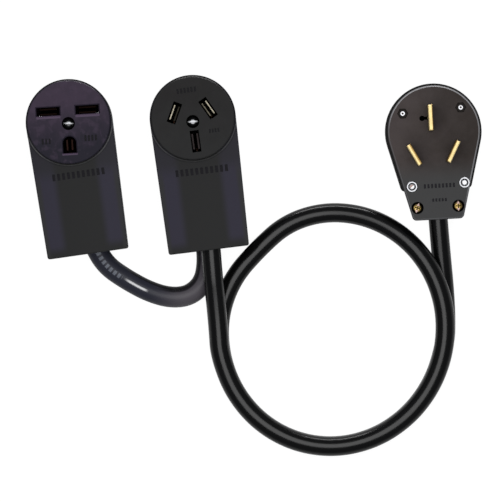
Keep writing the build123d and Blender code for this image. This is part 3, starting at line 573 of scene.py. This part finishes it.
def plated_steel_finish(name, colour, gloss=0.2):
    """Bright plated steel with turned marks and dull specks."""
    finish = Finish(name, Metallic=1.0)
    here = finish.where()
    cloud = finish.noise(here, 520, 4, 0.6)
    speck = finish.noise(here, 2600, 2).step_up(0.62, 0.74)
    tone = finish.blend(cloud, shade(colour, 0.82), shade(colour, 1.12))
    tone = finish.blend(0.4 * speck, tone, shade(colour, 0.4))
    finish.bump(cloud + 0.3 * speck, 0.008 * MM, 0.5)
    return finish.show(Base_Color=tone, Roughness=gloss + 0.12 * cloud + 0.15 * speck)


def cross_screw_finish(name, lie, colour, low):
    """Turned brass with tarnished patches, painted shade in its cross and round its rim, and a painted
    highlight, paler and less metallic, at both ends of one slot."""
    finish = Finish(name)
    here = finish.where(lie)
    across = abs(finish.axis(here, "X"))
    along = abs(finish.axis(here, "Y"))
    cloud = finish.noise(here, 620, 3, 0.6)
    # Painted shade round the head's rim.
    rim = finish.reach(here).step_up(2.2 * MM, 2.75 * MM)
    # Painted highlight at both ends of one slot.
    end = (across + 0.35 * along).step_up(1.5 * MM, 1.15 * MM) * along.step_up(1.1 * MM, 1.6 * MM)
    tone = finish.blend(cloud, shade(colour, 0.55), shade(colour, 1.3))
    tone = finish.blend(rim, tone, shade(colour, 0.05))
    # Painted shade in the cross.
    tone = finish.blend(finish.axis(here, "Z").step_up((low - 0.3) * MM, low * MM), shade(colour, 0.06), tone)
    tone = finish.blend(end, tone, (0.85, 0.6, 0.52))
    finish.bump(cloud, 0.02 * MM, 0.5)
    return finish.show(Base_Color=tone, Roughness=0.24 + 0.16 * cloud, Metallic=1 - 0.8 * end)


def screw_tip_finish(name, colour):
    """Steel of the screws that close the plug, with a painted highlight, paler and less metallic, on the
    chamfers round the tips, and painted shade in the dimples of the upper two.
    """
    finish = Finish(name)
    here = finish.where(PLUG)
    dimple = 1 - finish.axis(here, "Z").step_up((PLATE_TOP - 0.7) * MM, (PLATE_TOP - 0.25) * MM)
    dimple = dimple * finish.axis(here, "Y").step_up(-4 * MM, 4 * MM)
    cloud = finish.noise(here, 520, 3, 0.6)
    old = finish.noise(here, 900, 2).step_up(0.5, 0.62)
    tone = finish.blend(cloud, shade(colour, 0.6), shade(colour, 1.15))
    tone = finish.blend(0.5 * old, tone, (0.16, 0.13, 0.11))
    across = finish.axis(here, "X") - finish.axis(here, "Y")
    rusty = across.step_up(18.9 * MM, 18.3 * MM) * finish.axis(here, "X").step_up(0, -4 * MM)
    rusty = rusty * finish.axis(here, "Y").step_up(-20 * MM, -24 * MM)
    tone = finish.blend(0.85 * rusty, tone, (0.10, 0.06, 0.045))
    # Painted highlight on the chamfers round the tips.
    painted_edge_highlight = finish.edges()
    tone = finish.blend(painted_edge_highlight, tone, shade(colour, 1.3))
    # Painted shade in the dimples.
    tone = finish.blend(dimple, tone, (0.012, 0.008, 0.006))
    finish.bump(cloud, 0.02 * MM, 0.5)
    return finish.show(Base_Color=tone, Roughness=0.24 + 0.2 * cloud, Metallic=1 - 0.8 * painted_edge_highlight)


def screw_finish(name, lie, colour, bright, dull):
    """Steel that is polished in the middle of the head, with painted shade darkening it towards its rim
    and, where dull is high, on its lower side."""
    finish = Finish(name, Metallic=1.0)
    here = finish.where(lie)
    reach = finish.reach(here)
    above_slot = finish.axis(here, "Z").step_up((COVER_SCREW_TOP - 1.2) * MM, (COVER_SCREW_TOP - 1) * MM)
    # Painted shade towards the head's rim.
    dark = reach.step_up(bright * MM, (bright + 0.45) * MM) * above_slot
    cloud = finish.noise(here, 700, 3)
    tone = finish.blend(cloud, shade(colour, 0.85), shade(colour, 1.15))
    # Painted shade on the head's lower side.
    lower = finish.axis(here, "Y").step_up(0.15 * MM, -0.35 * MM)
    tone = finish.blend(dull * lower, tone, shade(colour, 0.1))
    tone = finish.blend(dark, tone, shade(colour, 0.06))
    finish.bump(cloud, 0.006 * MM, 0.4)
    return finish.show(Base_Color=tone, Roughness=0.22 + 0.1 * cloud + 0.2 * dark)


def contact_finish(name, lie, colour, top, low=0.05, side=0.0, other=1.0):
    """Tarnished brass, darker below the tops of the leaves, where painted shade in the slots adds to the
    tarnished metal, and wiped bright along the tops, a painted highlight as well as polish. If a side is
    given, 1 or -1, only their inner edges are wiped, and the leaf away from that side only as much as
    other says."""
    finish = Finish(name, Metallic=1.0)
    here = finish.where(lie)
    bright = finish.axis(here, "Z").step_up((top - 0.22) * MM, (top - 0.06) * MM)
    cloud = finish.noise(here, 260, 4, 0.6)
    wear_and_highlight = finish.noise(here, 700, 3, 0.6).step_up(0.3, 0.6)
    # old: the darker tone below the leaf tops, tarnished metal and painted shade.
    old = finish.blend(cloud, shade(colour, low), shade(colour, 2.2 * low))
    if side:
        across = finish.axis(here, "X")
        bright = bright * abs(across).step_up(1.95 * MM, 1.65 * MM)
        bright = bright * (other + (1 - other) * (side * across).step_up(-0.2 * MM, 0.2 * MM))
    tone = finish.blend(bright * (0.55 + 0.45 * wear_and_highlight), old, colour)
    finish.bump(cloud, 0.01 * MM, 0.4)
    return finish.show(Base_Color=tone, Roughness=0.75 - 0.45 * bright + 0.1 * cloud)


def strand_finish(name, colour):
    """Twisted copper strands, gone brown."""
    finish = Finish(name, Metallic=1.0)
    here = finish.where()
    strand = finish.noise(finish.where(None, (3200, 700, 3200)), 1.0, 2)
    cloud = finish.noise(here, 300, 3)
    finish.bump(strand, 0.1 * MM, 0.8)
    return finish.show(
        Base_Color=finish.blend(cloud, shade(colour, 0.75), colour), Roughness=0.26 + 0.2 * strand
    )


def core_finish(name, colour):
    """Soft insulation of a single wire."""
    finish = Finish(name, Specular_IOR_Level=0.35)
    here = finish.where()
    cloud = finish.noise(here, 420, 3)
    finish.bump(cloud, 0.03 * MM, 0.3)
    return finish.show(
        Base_Color=finish.blend(cloud, shade(colour, 0.8), shade(colour, 1.15)), Roughness=0.38 + 0.1 * cloud
    )


def dress(finish, *nodes):
    """Gives a CAD node, as it is, a finish in each of its material slots."""
    for node in nodes:
        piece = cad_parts[node]
        if not piece.material_slots:
            piece.data.materials.append(finish)
        for place in piece.material_slots:
            place.material = finish


# ---------------------------------------------------------------- shaping


def clear_selection():
    """Leaves edit mode and selects nothing."""
    if bpy.context.object and bpy.context.object.mode != "OBJECT":
        bpy.ops.object.mode_set(mode="OBJECT")
    bpy.ops.object.select_all(action="DESELECT")


def start(kind, name, **settings):
    """Adds a primitive to shape, with nothing else selected."""
    clear_selection()
    getattr(bpy.ops.mesh, "primitive_" + kind + "_add")(**settings)
    piece = bpy.context.object
    piece.name = name
    piece.data.name = name
    return piece


def modify(piece, kind, **settings):
    """Adds a modifier, sets it and applies it."""
    bpy.context.view_layer.objects.active = piece
    change = piece.modifiers.new(kind.title(), kind)
    for name, value in settings.items():
        setattr(change, name, value)
    bpy.ops.object.modifier_apply(modifier=change.name)


def soften(piece, width):
    """Rounds the sharp edges of a piece by a width in millimetres."""
    sharp = math.radians(35)
    modify(piece, "BEVEL", width=width * MM, segments=2, limit_method="ANGLE", angle_limit=sharp)


def turned(name, profile, hollow=False):
    """A turned piece, drawn out ring by ring from a disc. The profile gives radii and heights. A hollow
    one ends on the ring that it starts from."""
    radius, height = profile[0]
    filling = "NOTHING" if hollow else "NGON"
    piece = start("circle", name, vertices=64, radius=radius * MM, fill_type=filling)
    bpy.ops.object.mode_set(mode="EDIT")
    bpy.ops.mesh.select_mode(type="VERT")
    bpy.ops.mesh.select_all(action="SELECT")
    bpy.ops.transform.translate(value=(0, 0, height * MM))
    for next_radius, next_height in profile[1:]:
        rise = (0, 0, (next_height - height) * MM)
        bpy.ops.mesh.extrude_region_move(TRANSFORM_OT_translate={"value": rise})
        factor = next_radius / radius
        pivot = (0, 0, next_height * MM)
        bpy.ops.transform.resize(value=(factor, factor, 1), center_override=pivot)
        radius, height = next_radius, next_height
    bpy.ops.mesh.select_all(action="SELECT")
    bpy.ops.mesh.remove_doubles(threshold=0.001 * MM)
    bpy.ops.mesh.normals_make_consistent(inside=False)
    bpy.ops.object.mode_set(mode="OBJECT")
    return piece


def cut(piece, size, place, narrowing=1.0):
    """Cuts a slot with straight or narrowing walls, its size and place in millimetres."""
    tool = start("cube", piece.name + "_cutter", size=1, location=[part * MM for part in place])
    tool.scale = [part * MM for part in size]
    bpy.ops.object.mode_set(mode="EDIT")
    bpy.ops.mesh.select_mode(type="FACE")
    bpy.ops.mesh.select_all(action="DESELECT")
    bpy.ops.object.mode_set(mode="OBJECT")
    for face in tool.data.polygons:
        face.select = face.normal.z < -0.5
    bpy.ops.object.mode_set(mode="EDIT")
    bpy.ops.transform.resize(
        value=(narrowing, narrowing, 1), orient_type="LOCAL", center_override=tool.location
    )
    bpy.ops.object.mode_set(mode="OBJECT")
    modify(piece, "BOOLEAN", operation="DIFFERENCE", object=tool, solver="EXACT")
    bpy.data.objects.remove(tool)


def dome(radius, top, ball, rings=7):
    """Radii and heights of a domed head, from its rim up to nearly its middle."""
    crown = top - ball
    steps = [1 - step / (rings + 0.6) for step in range(rings + 1)]
    return [(radius * part, crown + math.sqrt(ball**2 - (radius * part) ** 2)) for part in steps]


def put_in_order(mesh):
    """Orders a mesh's corners by their places alone, from its upper left on, and starts each face from its
    first corner. Cutting and extruding leave them in any order, and a flat face with many corners would
    be split, and so shaded, in another way each time."""
    places = [tuple(corner.co) for corner in mesh.vertices]

    def leftness(corner):
        x, y, z = places[corner]
        return (x - y, x, z)

    order = sorted(range(len(places)), key=leftness)
    rank = {corner: number for number, corner in enumerate(order)}
    faces = []
    for face in mesh.polygons:
        ring = [rank[corner] for corner in face.vertices]
        first = ring.index(min(ring))
        faces.append(ring[first:] + ring[:first])
    mesh.clear_geometry()
    mesh.from_pydata([places[corner] for corner in order], [], sorted(faces))


def settle(piece, lie, body="root"):
    """Lays a finished piece on its housing, applies its place, orders its mesh and shades it."""
    clear_selection()
    piece.select_set(True)
    bpy.context.view_layer.objects.active = piece
    piece.matrix_world = lie.matrix()
    bpy.ops.object.transform_apply(location=True, rotation=True, scale=True)
    put_in_order(piece.data)
    bpy.ops.object.shade_smooth_by_angle(angle=math.radians(32))
    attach(piece, body)
    return piece


def join(pieces):
    """Joins pieces into the first of them."""
    clear_selection()
    for piece in pieces:
        piece.select_set(True)
    bpy.context.view_layer.objects.active = pieces[0]
    bpy.ops.object.join()
    return pieces[0]


def double(piece, name):
    """A copy of a piece with its own mesh."""
    copy = piece.copy()
    copy.data = piece.data.copy()
    copy.name = name
    copy.data.name = name
    bpy.context.scene.collection.objects.link(copy)
    return copy


# ---------------------------------------------------------------- operators


class ADAPTER_OT_stage(bpy.types.Operator):
    """Make the floor, the lamps and the camera."""

    bl_idname = "adapter.stage"
    bl_label = "Studio"

    def execute(self, context):
        settings = context.scene.adapter_studio
        self.floor(settings)
        self.lamps(context, settings)
        self.camera(context, settings)
        return {"FINISHED"}

    def floor(self, settings):
        """A wide pale floor. It also glows for the camera and, more weakly, in reflections, so that it looks
        plain white from above."""
        clear_selection()
        bpy.ops.mesh.primitive_circle_add(
            vertices=96, radius=30, fill_type="NGON", location=(0, 0, cad_low.z - 0.02 * MM)
        )
        floor = bpy.context.object
        floor.name = "studio_floor"
        bpy.ops.object.transform_apply(location=True, rotation=True, scale=True)
        finish = Finish("studio_floor_paint", Roughness=0.9, Specular_IOR_Level=0.1)
        speck = finish.noise(finish.where(), 12, 2)
        low, high = shade(settings.floor, 0.995), shade(settings.floor, 1.005)
        finish.show(Base_Color=finish.blend(speck, low, high))
        seen = finish.add("LightPath", output="Is Camera Ray")
        seen = seen + 0.45 * finish.add("LightPath", output="Is Glossy Ray")
        matt = Wire(finish, finish.shader.outputs[0])
        glow = finish.add("Emission", None, {"Color": (1, 1, 1), "Strength": 1.2})
        mixed = finish.add("MixShader", None, {0: 0.78 * seen, 1: matt, 2: glow})
        finish.tree.links.new(mixed.socket, finish.tree.nodes["Material Output"].inputs["Surface"])
        floor.data.materials.append(finish.material)

    def lamps(self, context, settings):
        """A softbox straight above, a low strip lamp behind the adapter, and a dim room round them."""
        middle = (cad_low + cad_high) / 2
        for name, place, size, power in (
            ("softbox", Vector((0, 0, 0.95)), (0.75, 0.75), settings.key_power),
            ("strip", Vector((0.05, 0.9, 0.02)), (0.9, 0.06), settings.strip_power),
        ):
            lamp = bpy.data.lights.new(name, "AREA")
            lamp.shape = "RECTANGLE"
            lamp.size, lamp.size_y = size
            lamp.energy = power
            holder = bpy.data.objects.new(name, lamp)
            context.scene.collection.objects.link(holder)
            holder.location = middle + place
            holder.rotation_euler = (-place).to_track_quat("-Z", "Y").to_euler()
            holder.visible_camera = False
        world = bpy.data.worlds.new("studio_room")
        world.use_nodes = True
        world.node_tree.nodes["Background"].inputs["Color"].default_value = (0.9, 0.92, 1.0, 1)
        world.node_tree.nodes["Background"].inputs["Strength"].default_value = 0.25
        context.scene.world = world
        context.scene.view_settings.view_transform = "Standard"

    def camera(self, context, settings):
        """Looks straight down. The view has its set width at a height between floor and faces."""
        middle = Vector((-2.2, -53.3, 25)) * MM
        lens = bpy.data.cameras.new("studio_camera")
        lens.sensor_width = 36
        lens.lens = lens.sensor_width * (settings.camera_height - middle.z) / settings.view_width
        lens.clip_start = 0.1
        lens.clip_end = 60
        camera = bpy.data.objects.new("studio_camera", lens)
        context.scene.collection.objects.link(camera)
        camera.location = (middle.x, middle.y, settings.camera_height)
        context.scene.camera = camera


class ADAPTER_OT_cords(bpy.types.Operator):
    """Lay the long cord with its loop and the short cord between the outlets."""

    bl_idname = "adapter.cords"
    bl_label = "Cords"

    def execute(self, context):
        sizes = context.scene.adapter_cords
        colours = context.scene.adapter_plastics
        main = jacket_finish("main_jacket", colours.main_jacket, 0.2, 0.23)
        branch = jacket_finish("branch_jacket", colours.branch_jacket, 0.34, 0.14, printed=True)
        for name, route, radius, finish, mouth, length in (
            ("main", main_route(), sizes.main_radius, main, RANGE.past_end(1.5, 0, 25.2), 0.8577),
            ("branch", branch_route(), sizes.branch_radius, branch, WELDER.past_end(5.8, 0, 11.3), 0.1485),
        ):
            cord = self.lay(context, name + "_cord_jacket", route, radius)
            cord.data.materials.append(finish)
            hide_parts(name + "_cord")
            name + "_jacket"
            2 * radius
        return {"FINISHED"}

    def lay(self, context, name, route, radius):
        """A round cord along a route."""
        line = bpy.data.curves.new(name, "CURVE")
        line.dimensions = "3D"
        spline = line.splines.new("NURBS")
        spline.points.add(len(route) - 1)
        for point, place in zip(spline.points, route):
            point.co = (*place, 1)
            point.radius = radius
        spline.order_u = 3
        spline.use_endpoint_u = True
        spline.resolution_u = 14
        line.resolution_u = 14
        line.bevel_depth = 1.0
        line.bevel_resolution = 7
        line.use_fill_caps = True
        cord = bpy.data.objects.new(name, line)
        context.scene.collection.objects.link(cord)
        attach(cord, "root")
        return cord


class ADAPTER_OT_housings(bpy.types.Operator):
    """Finish the outlets' covers, bases, clamps and grommets."""

    bl_idname = "adapter.housings"
    bl_label = "Housings"

    def execute(self, context):
        colours = context.scene.adapter_plastics
        black, bluish = colours.housing, colours.flank
        # bead: how much paler the painted highlight makes each cover's bead.
        for name, lie, bead in (("welder", WELDER, 4.9), ("range", RANGE, 3.4)):
            cover = housing_finish(name + "_cover_plastic", lie, black, bluish, bead=bead)
            dress(cover, name + "_cover")
            base = housing_finish(name + "_base_plastic", lie, black, bluish, 0.6)
            dress(base, name + "_base", name + "_cord_clamp")
            dress(rubber_finish(name + "_grommet_rubber", paint(24, 24, 25)), name + "_cord_grommet")
        return {"FINISHED"}


class ADAPTER_OT_faces(bpy.types.Operator):
    """Finish the outlets' faces and the contacts behind their slots."""

    bl_idname = "adapter.faces"
    bl_label = "Faces and contacts"

    def execute(self, context):
        plastics = context.scene.adapter_plastics
        metals = context.scene.adapter_metals
        low, top = plastics.welder_low, plastics.welder_top
        # Lips below the welder face's slots that get a painted highlight.
        lips = ((-12.4, 4.3, 7.6), (12.4, 4.3, 7.6), (0, -19.4, 4.9))
        dress(face_finish("welder_face_plastic", WELDER, low, top, lips=lips), "welder_face")
        outlet = face_finish("range_face_plastic", RANGE, plastics.range_low, plastics.range_top)
        dress(outlet, "range_face")
        top = RANGE_CONTACT_TOP
        # The range contacts' painted highlight falls more on one leaf of each slot than on the other.
        brass = shade(metals.contact, 2.1)
        for name, side, other in (("left", -1, 0.25), ("right", 1, 0.6)):
            spot = RANGE_FACE.inner(10.75 * side, 7.0, 27.3 * side)
            finish = contact_finish("range_" + name + "_contact_brass", spot, brass, top, 0.05, side, other)
            dress(finish, "range_" + name + "_contact")
        old = contact_finish("range_neutral_brass", RANGE, (0.010, 0.0082, 0.0082), top, 0.35)
        dress(old, "range_neutral_contact")
        # The welder contacts' near-black brass is partly painted shade deep in their slots.
        top = WELDER_CONTACT_TOP
        dull = contact_finish("welder_contact_brass", WELDER, (0.0026, 0.0014, 0.0011), top, 0.4)
        dress(dull, "welder_left_contact", "welder_right_contact")
        ground = contact_finish("welder_ground_brass", WELDER, (0.0065, 0.0032, 0.0026), top, 0.5)
        dress(ground, "welder_ground_contact")
        return {"FINISHED"}


class ADAPTER_OT_cover_screws(bpy.types.Operator):
    """Turn the slotted screws in the middle of the outlets' faces."""

    bl_idname = "adapter.cover_screws"
    bl_label = "Cover screws"

    def execute(self, context):
        metals = context.scene.adapter_metals
        tip, seat, rim, top = 15.35, 37.05, 3.3, COVER_SCREW_TOP
        shank = [(1.5, tip), (1.9, tip + 0.5), (1.9, seat), (rim - 0.2, seat), (rim, seat + 0.2)]
        first = turned("welder_cover_screw_head", shank + dome(rim, top, 6.4))
        cut(first, (8.0, 1.1, 3.0), (0, 0, top + 0.35))
        soften(first, 0.12)
        second = double(first, "range_cover_screw_head")
        # dull sets how strongly painted shade darkens each head's lower side.
        for piece, name, lie, turn, dull in (
            (first, "welder", WELDER_FACE, -6, 0.9),
            (second, "range", RANGE_FACE, -4, 0.35),
        ):
            settle(piece, lie.inner(0, 0, turn), name + "_cover_screw_body")
            finish = screw_finish(name + "_screw_steel", lie, shade(metals.steel, 0.5), 1.25, dull)
            piece.data.materials.append(finish)
            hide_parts(name + "_cover_screw")
        return {"FINISHED"}


class ADAPTER_OT_clamp_screws(bpy.types.Operator):
    """Turn the cross-headed brass screws of the plug's cord clamp."""

    bl_idname = "adapter.clamp_screws"
    bl_label = "Clamp screws"

    def execute(self, context):
        metals = context.scene.adapter_metals
        tip, seat, rim = 5.65, 28.05, 3.15
        shank = [(1.3, tip), (1.8, tip + 0.55), (1.8, seat), (rim - 0.2, seat), (rim, seat + 0.2)]
        first = turned("plug_left_clamp_screw_head", shank + dome(rim, seat + 2.1, 6.6))
        for size in ((4.6, 1.0, 2.8), (1.0, 4.6, 2.8)):
            cut(first, size, (0, 0, seat + 2.0), narrowing=0.55)
        soften(first, 0.1)
        second = double(first, "plug_right_clamp_screw_head")
        brass = shade(metals.yellow_brass, 0.62)
        for piece, name, x, turn in ((first, "left", -13.0, -19.6), (second, "right", 13.0, 0)):
            spot = PLUG.inner(x, -48.0, turn)
            settle(piece, spot, "plug_" + name + "_clamp_screw_body")
            finish = cross_screw_finish(name + "_clamp_screw_brass", spot, brass, seat + 1.0)
            piece.data.materials.append(finish)
            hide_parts("plug_" + name + "_clamp_screw")
        return {"FINISHED"}


class ADAPTER_OT_marks(bpy.types.Operator):
    """Mould the rows of raised plain dashes on the faces, the covers and the plug's plate."""

    bl_idname = "adapter.marks"
    bl_label = "Moulded dashes"

    def execute(self, context):
        plastics = context.scene.adapter_plastics
        dark = plastics.dashes
        grey, pale = shade(dark, 1.4), shade(dark, 1.6)
        welder_cover = housing_finish("welder_dash_plastic", WELDER, grey, grey, 0.7)
        range_cover = housing_finish("range_dash_plastic", RANGE, grey, grey, 0.7)
        mauve = face_finish("welder_dash_plastic_face", WELDER, dark, shade(dark, 1.2), floor=FACE_TOP - 0.8)
        black = face_finish("range_dash_plastic_face", RANGE, dark, dark, floor=FACE_TOP - 0.8)
        plate = face_finish("plug_dash_plastic", PLUG, pale, pale, floor=PLATE_TOP - 1)
        front = COVER_FRONT - 0.08
        for name, lie, x, y, top, wide, long, step, count, finish, slot in (
            ("welder_face_left", WELDER_FACE, -14.6, -10.6, FACE_TOP, 1.1, 3.6, 2.2, 3, mauve, "welder_face"),
            ("welder_face_right", WELDER_FACE, 13.6, -9.9, FACE_TOP, 1.1, 3.6, 2.2, 4, mauve, "welder_face"),
            ("range_face_top", RANGE_FACE, -1.3, 20.2, FACE_TOP, 1.1, 3.1, 2.2, 6, black, "range_face"),
            ("range_face_right", RANGE_FACE, 12.6, -7.4, FACE_TOP, 0.9, 2.4, 1.8, 4, black, "range_face"),
            ("welder_cover", WELDER, 1.3, -33.6, front, 1.7, 4.2, 3.15, 11, welder_cover, "housing"),
            ("range_cover", RANGE, 1.6, -33.8, front, 1.7, 4.2, 3.15, 11, range_cover, "housing"),
            ("plug_upper", PLUG, 1.6, -34.6, PLATE_TOP, 1.2, 2.6, 2.3, 9, plate, "plug_plate"),
            ("plug_lower", PLUG, 1.2, -43.6, PLATE_TOP, 1.1, 2.0, 2.0, 5, plate, "plug_plate"),
        ):
            crown = CROWN_RADIUS if slot == "housing" else math.inf
            piece = self.row(name + "_dashes", wide, long, step, count, crown)
            spot = lie.inner(x, y, 0)
            spot.centre.z = (top - 0.05) * MM
            settle(piece, spot)
            piece.data.materials.append(finish)
        return {"FINISHED"}

    def row(self, name, wide, long, step, count, crown):
        """A row of rounded raised bars about its own middle. They follow a front of a crown radius."""
        bars = []
        for index in range(count):
            x = (index + (1 - count) / 2) * step
            turn = x / crown
            place = (x * MM, 0, (0.16 - x * turn / 2) * MM)
            bar = start("cube", name, size=1, location=place, rotation=(0, turn, 0))
            bar.scale = (wide * MM, long * MM, 0.44 * MM)
            bpy.ops.object.transform_apply(location=True, rotation=True, scale=True)
            bars.append(bar)
        piece = join(bars)
        bpy.ops.object.mode_set(mode="EDIT")
        bpy.ops.mesh.select_all(action="SELECT")
        bpy.ops.mesh.bevel(offset=0.12 * MM, segments=2)
        bpy.ops.object.mode_set(mode="OBJECT")
        return piece


class ADAPTER_OT_fasteners(bpy.types.Operator):
    """Finish the plain screws, the nuts and the inserts, and roll the eyelets' rings."""

    bl_idname = "adapter.fasteners"
    bl_label = "Fasteners"

    def execute(self, context):
        metals = context.scene.adapter_metals
        steel = plated_steel_finish("plated_steel", metals.steel)
        # The nuts' near-black steel is painted shade in their hex pockets.
        dark = plated_steel_finish("blackened_steel", (0.0075, 0.0065, 0.006), 0.34)
        dress(
            steel,
            "welder_terminal_screws",
            "range_terminal_screws",
            "welder_clamp_screws",
            "range_clamp_screws",
            "plug_terminal_screws",
        )
        dress(screw_tip_finish("dimpled_steel", metals.steel), "plug_body_screws")
        dress(dark, "plug_hex_nuts")
        self.eyelets(plated_steel_finish("eyelet_steel", shade(metals.steel, 0.72), 0.3))
        insert = plated_steel_finish("insert_brass", metals.yellow_brass, 0.24)
        dress(insert, "welder_threaded_insert", "range_threaded_insert")
        return {"FINISHED"}

    def eyelets(self, finish):
        """The two rolled rings round the plug's lower screws, joined as one piece."""
        bore, neck, flange = 2.35, 2.6, 3.4
        low, seat, top = PLATE_TOP - 1.8, PLATE_TOP - 0.8, PLATE_TOP + 0.5
        ring = [(bore, low), (neck, low), (neck, seat), (flange, seat), (flange, top - 0.2)]
        ring = ring + [(flange - 0.2, top), (bore + 0.15, top), (bore, top - 0.15)]
        first = turned("plug_eyelet_rings", ring + ring[:1], hollow=True)
        second = double(first, "plug_right_eyelet_ring")
        middle = PLUG.inner(0, 0, 1.6)
        settle(first, middle.inner(-16.7, -33.9, 0))
        settle(second, middle.inner(16.7, -33.9, 0))
        join((first, second))
        first.data.materials.append(finish)
        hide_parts("plug_eyelets")


class ADAPTER_OT_plug(bpy.types.Operator):
    """Finish the plug's shell, front plate and blades."""

    bl_idname = "adapter.plug"
    bl_label = "Plug"

    def execute(self, context):
        plastics = context.scene.adapter_plastics
        metals = context.scene.adapter_metals
        plate = plate_finish("plug_plate_plastic", plastics)
        dress(plate, "plug_front_plate")
        shell = housing_finish("plug_shell_plastic", PLUG, plastics.plug_shell, plastics.plug_shell, 0.5)
        dress(shell, "plug_back_shell", "plug_clamp_bar")
        # Colour of the painted shade along one side of each blade.
        painted_shade_tone = (0.15, 0.09, 0.026)
        for name, x, y, turn, side, start in (
            ("left", -12.3, -14.0, 26.0, 1, -0.1),
            ("right", 12.3, -14.0, -30.0, -1, 0.3),
            ("neutral", 0.0, 8.6, -2.0, 1, 0.5),
        ):
            spot = PLUG.inner(0, 0, 2.0).inner(-1.7 + x, y, turn)
            finish = rolled_brass_finish(name + "_blade_brass", spot, metals.blade, painted_shade_tone, side, start)
            dress(finish, "plug_" + name + "_blade")
        return {"FINISHED"}


class ADAPTER_OT_wiring(bpy.types.Operator):
    """Finish the wires and their bare ends inside the housings."""

    bl_idname = "adapter.wiring"
    bl_label = "Wiring"

    def execute(self, context):
        metals = context.scene.adapter_metals
        core = core_finish("core_insulation", paint(36, 36, 38))
        copper = strand_finish("copper_strands", metals.copper)
        for name in ("welder", "range_branch", "range_main", "plug"):
            dress(core, name + "_wire_cores")
            dress(copper, name + "_wire_ends")
        return {"FINISHED"}


class ADAPTER_PT_panel(bpy.types.Panel):
    """Lists the adapter's pieces, sizes and colours in the 3D view's sidebar."""

    bl_label = "Power Adapter"
    bl_space_type = "VIEW_3D"
    bl_region_type = "UI"
    bl_category = "Power Adapter"

    def draw(self, context):
        for step in STEPS:
            self.layout.operator(step.bl_idname)
        for place in GROUPS:
            group = getattr(context.scene, place)
            box = self.layout.box()
            for name in group.__annotations__:
                box.prop(group, name)


STEPS = (
    ADAPTER_OT_stage,
    ADAPTER_OT_cords,
    ADAPTER_OT_housings,
    ADAPTER_OT_faces,
    ADAPTER_OT_cover_screws,
    ADAPTER_OT_clamp_screws,
    ADAPTER_OT_marks,
    ADAPTER_OT_fasteners,
    ADAPTER_OT_plug,
    ADAPTER_OT_wiring,
)
GROUPS = {
    "adapter_cords": CordSizes,
    "adapter_plastics": PlasticColours,
    "adapter_metals": MetalColours,
    "adapter_studio": StudioSettings,
}


def register():
    for name, group in GROUPS.items():
        bpy.utils.register_class(group)
        setattr(bpy.types.Scene, name, bpy.props.PointerProperty(type=group))
    for step in STEPS:
        bpy.utils.register_class(step)
    bpy.utils.register_class(ADAPTER_PT_panel)


def unregister():
    bpy.utils.unregister_class(ADAPTER_PT_panel)
    for step in STEPS:
        bpy.utils.unregister_class(step)
    for name, group in GROUPS.items():
        delattr(bpy.types.Scene, name)
        bpy.utils.unregister_class(group)


def main():
    register()
    bpy.ops.adapter.stage()
    bpy.ops.adapter.cords()
    bpy.ops.adapter.housings()
    bpy.ops.adapter.faces()
    bpy.ops.adapter.cover_screws()
    bpy.ops.adapter.clamp_screws()
    bpy.ops.adapter.marks()
    bpy.ops.adapter.fasteners()
    bpy.ops.adapter.plug()
    bpy.ops.adapter.wiring()
    bpy.context.view_layer.update()


if __name__ == "__main__":
    main()
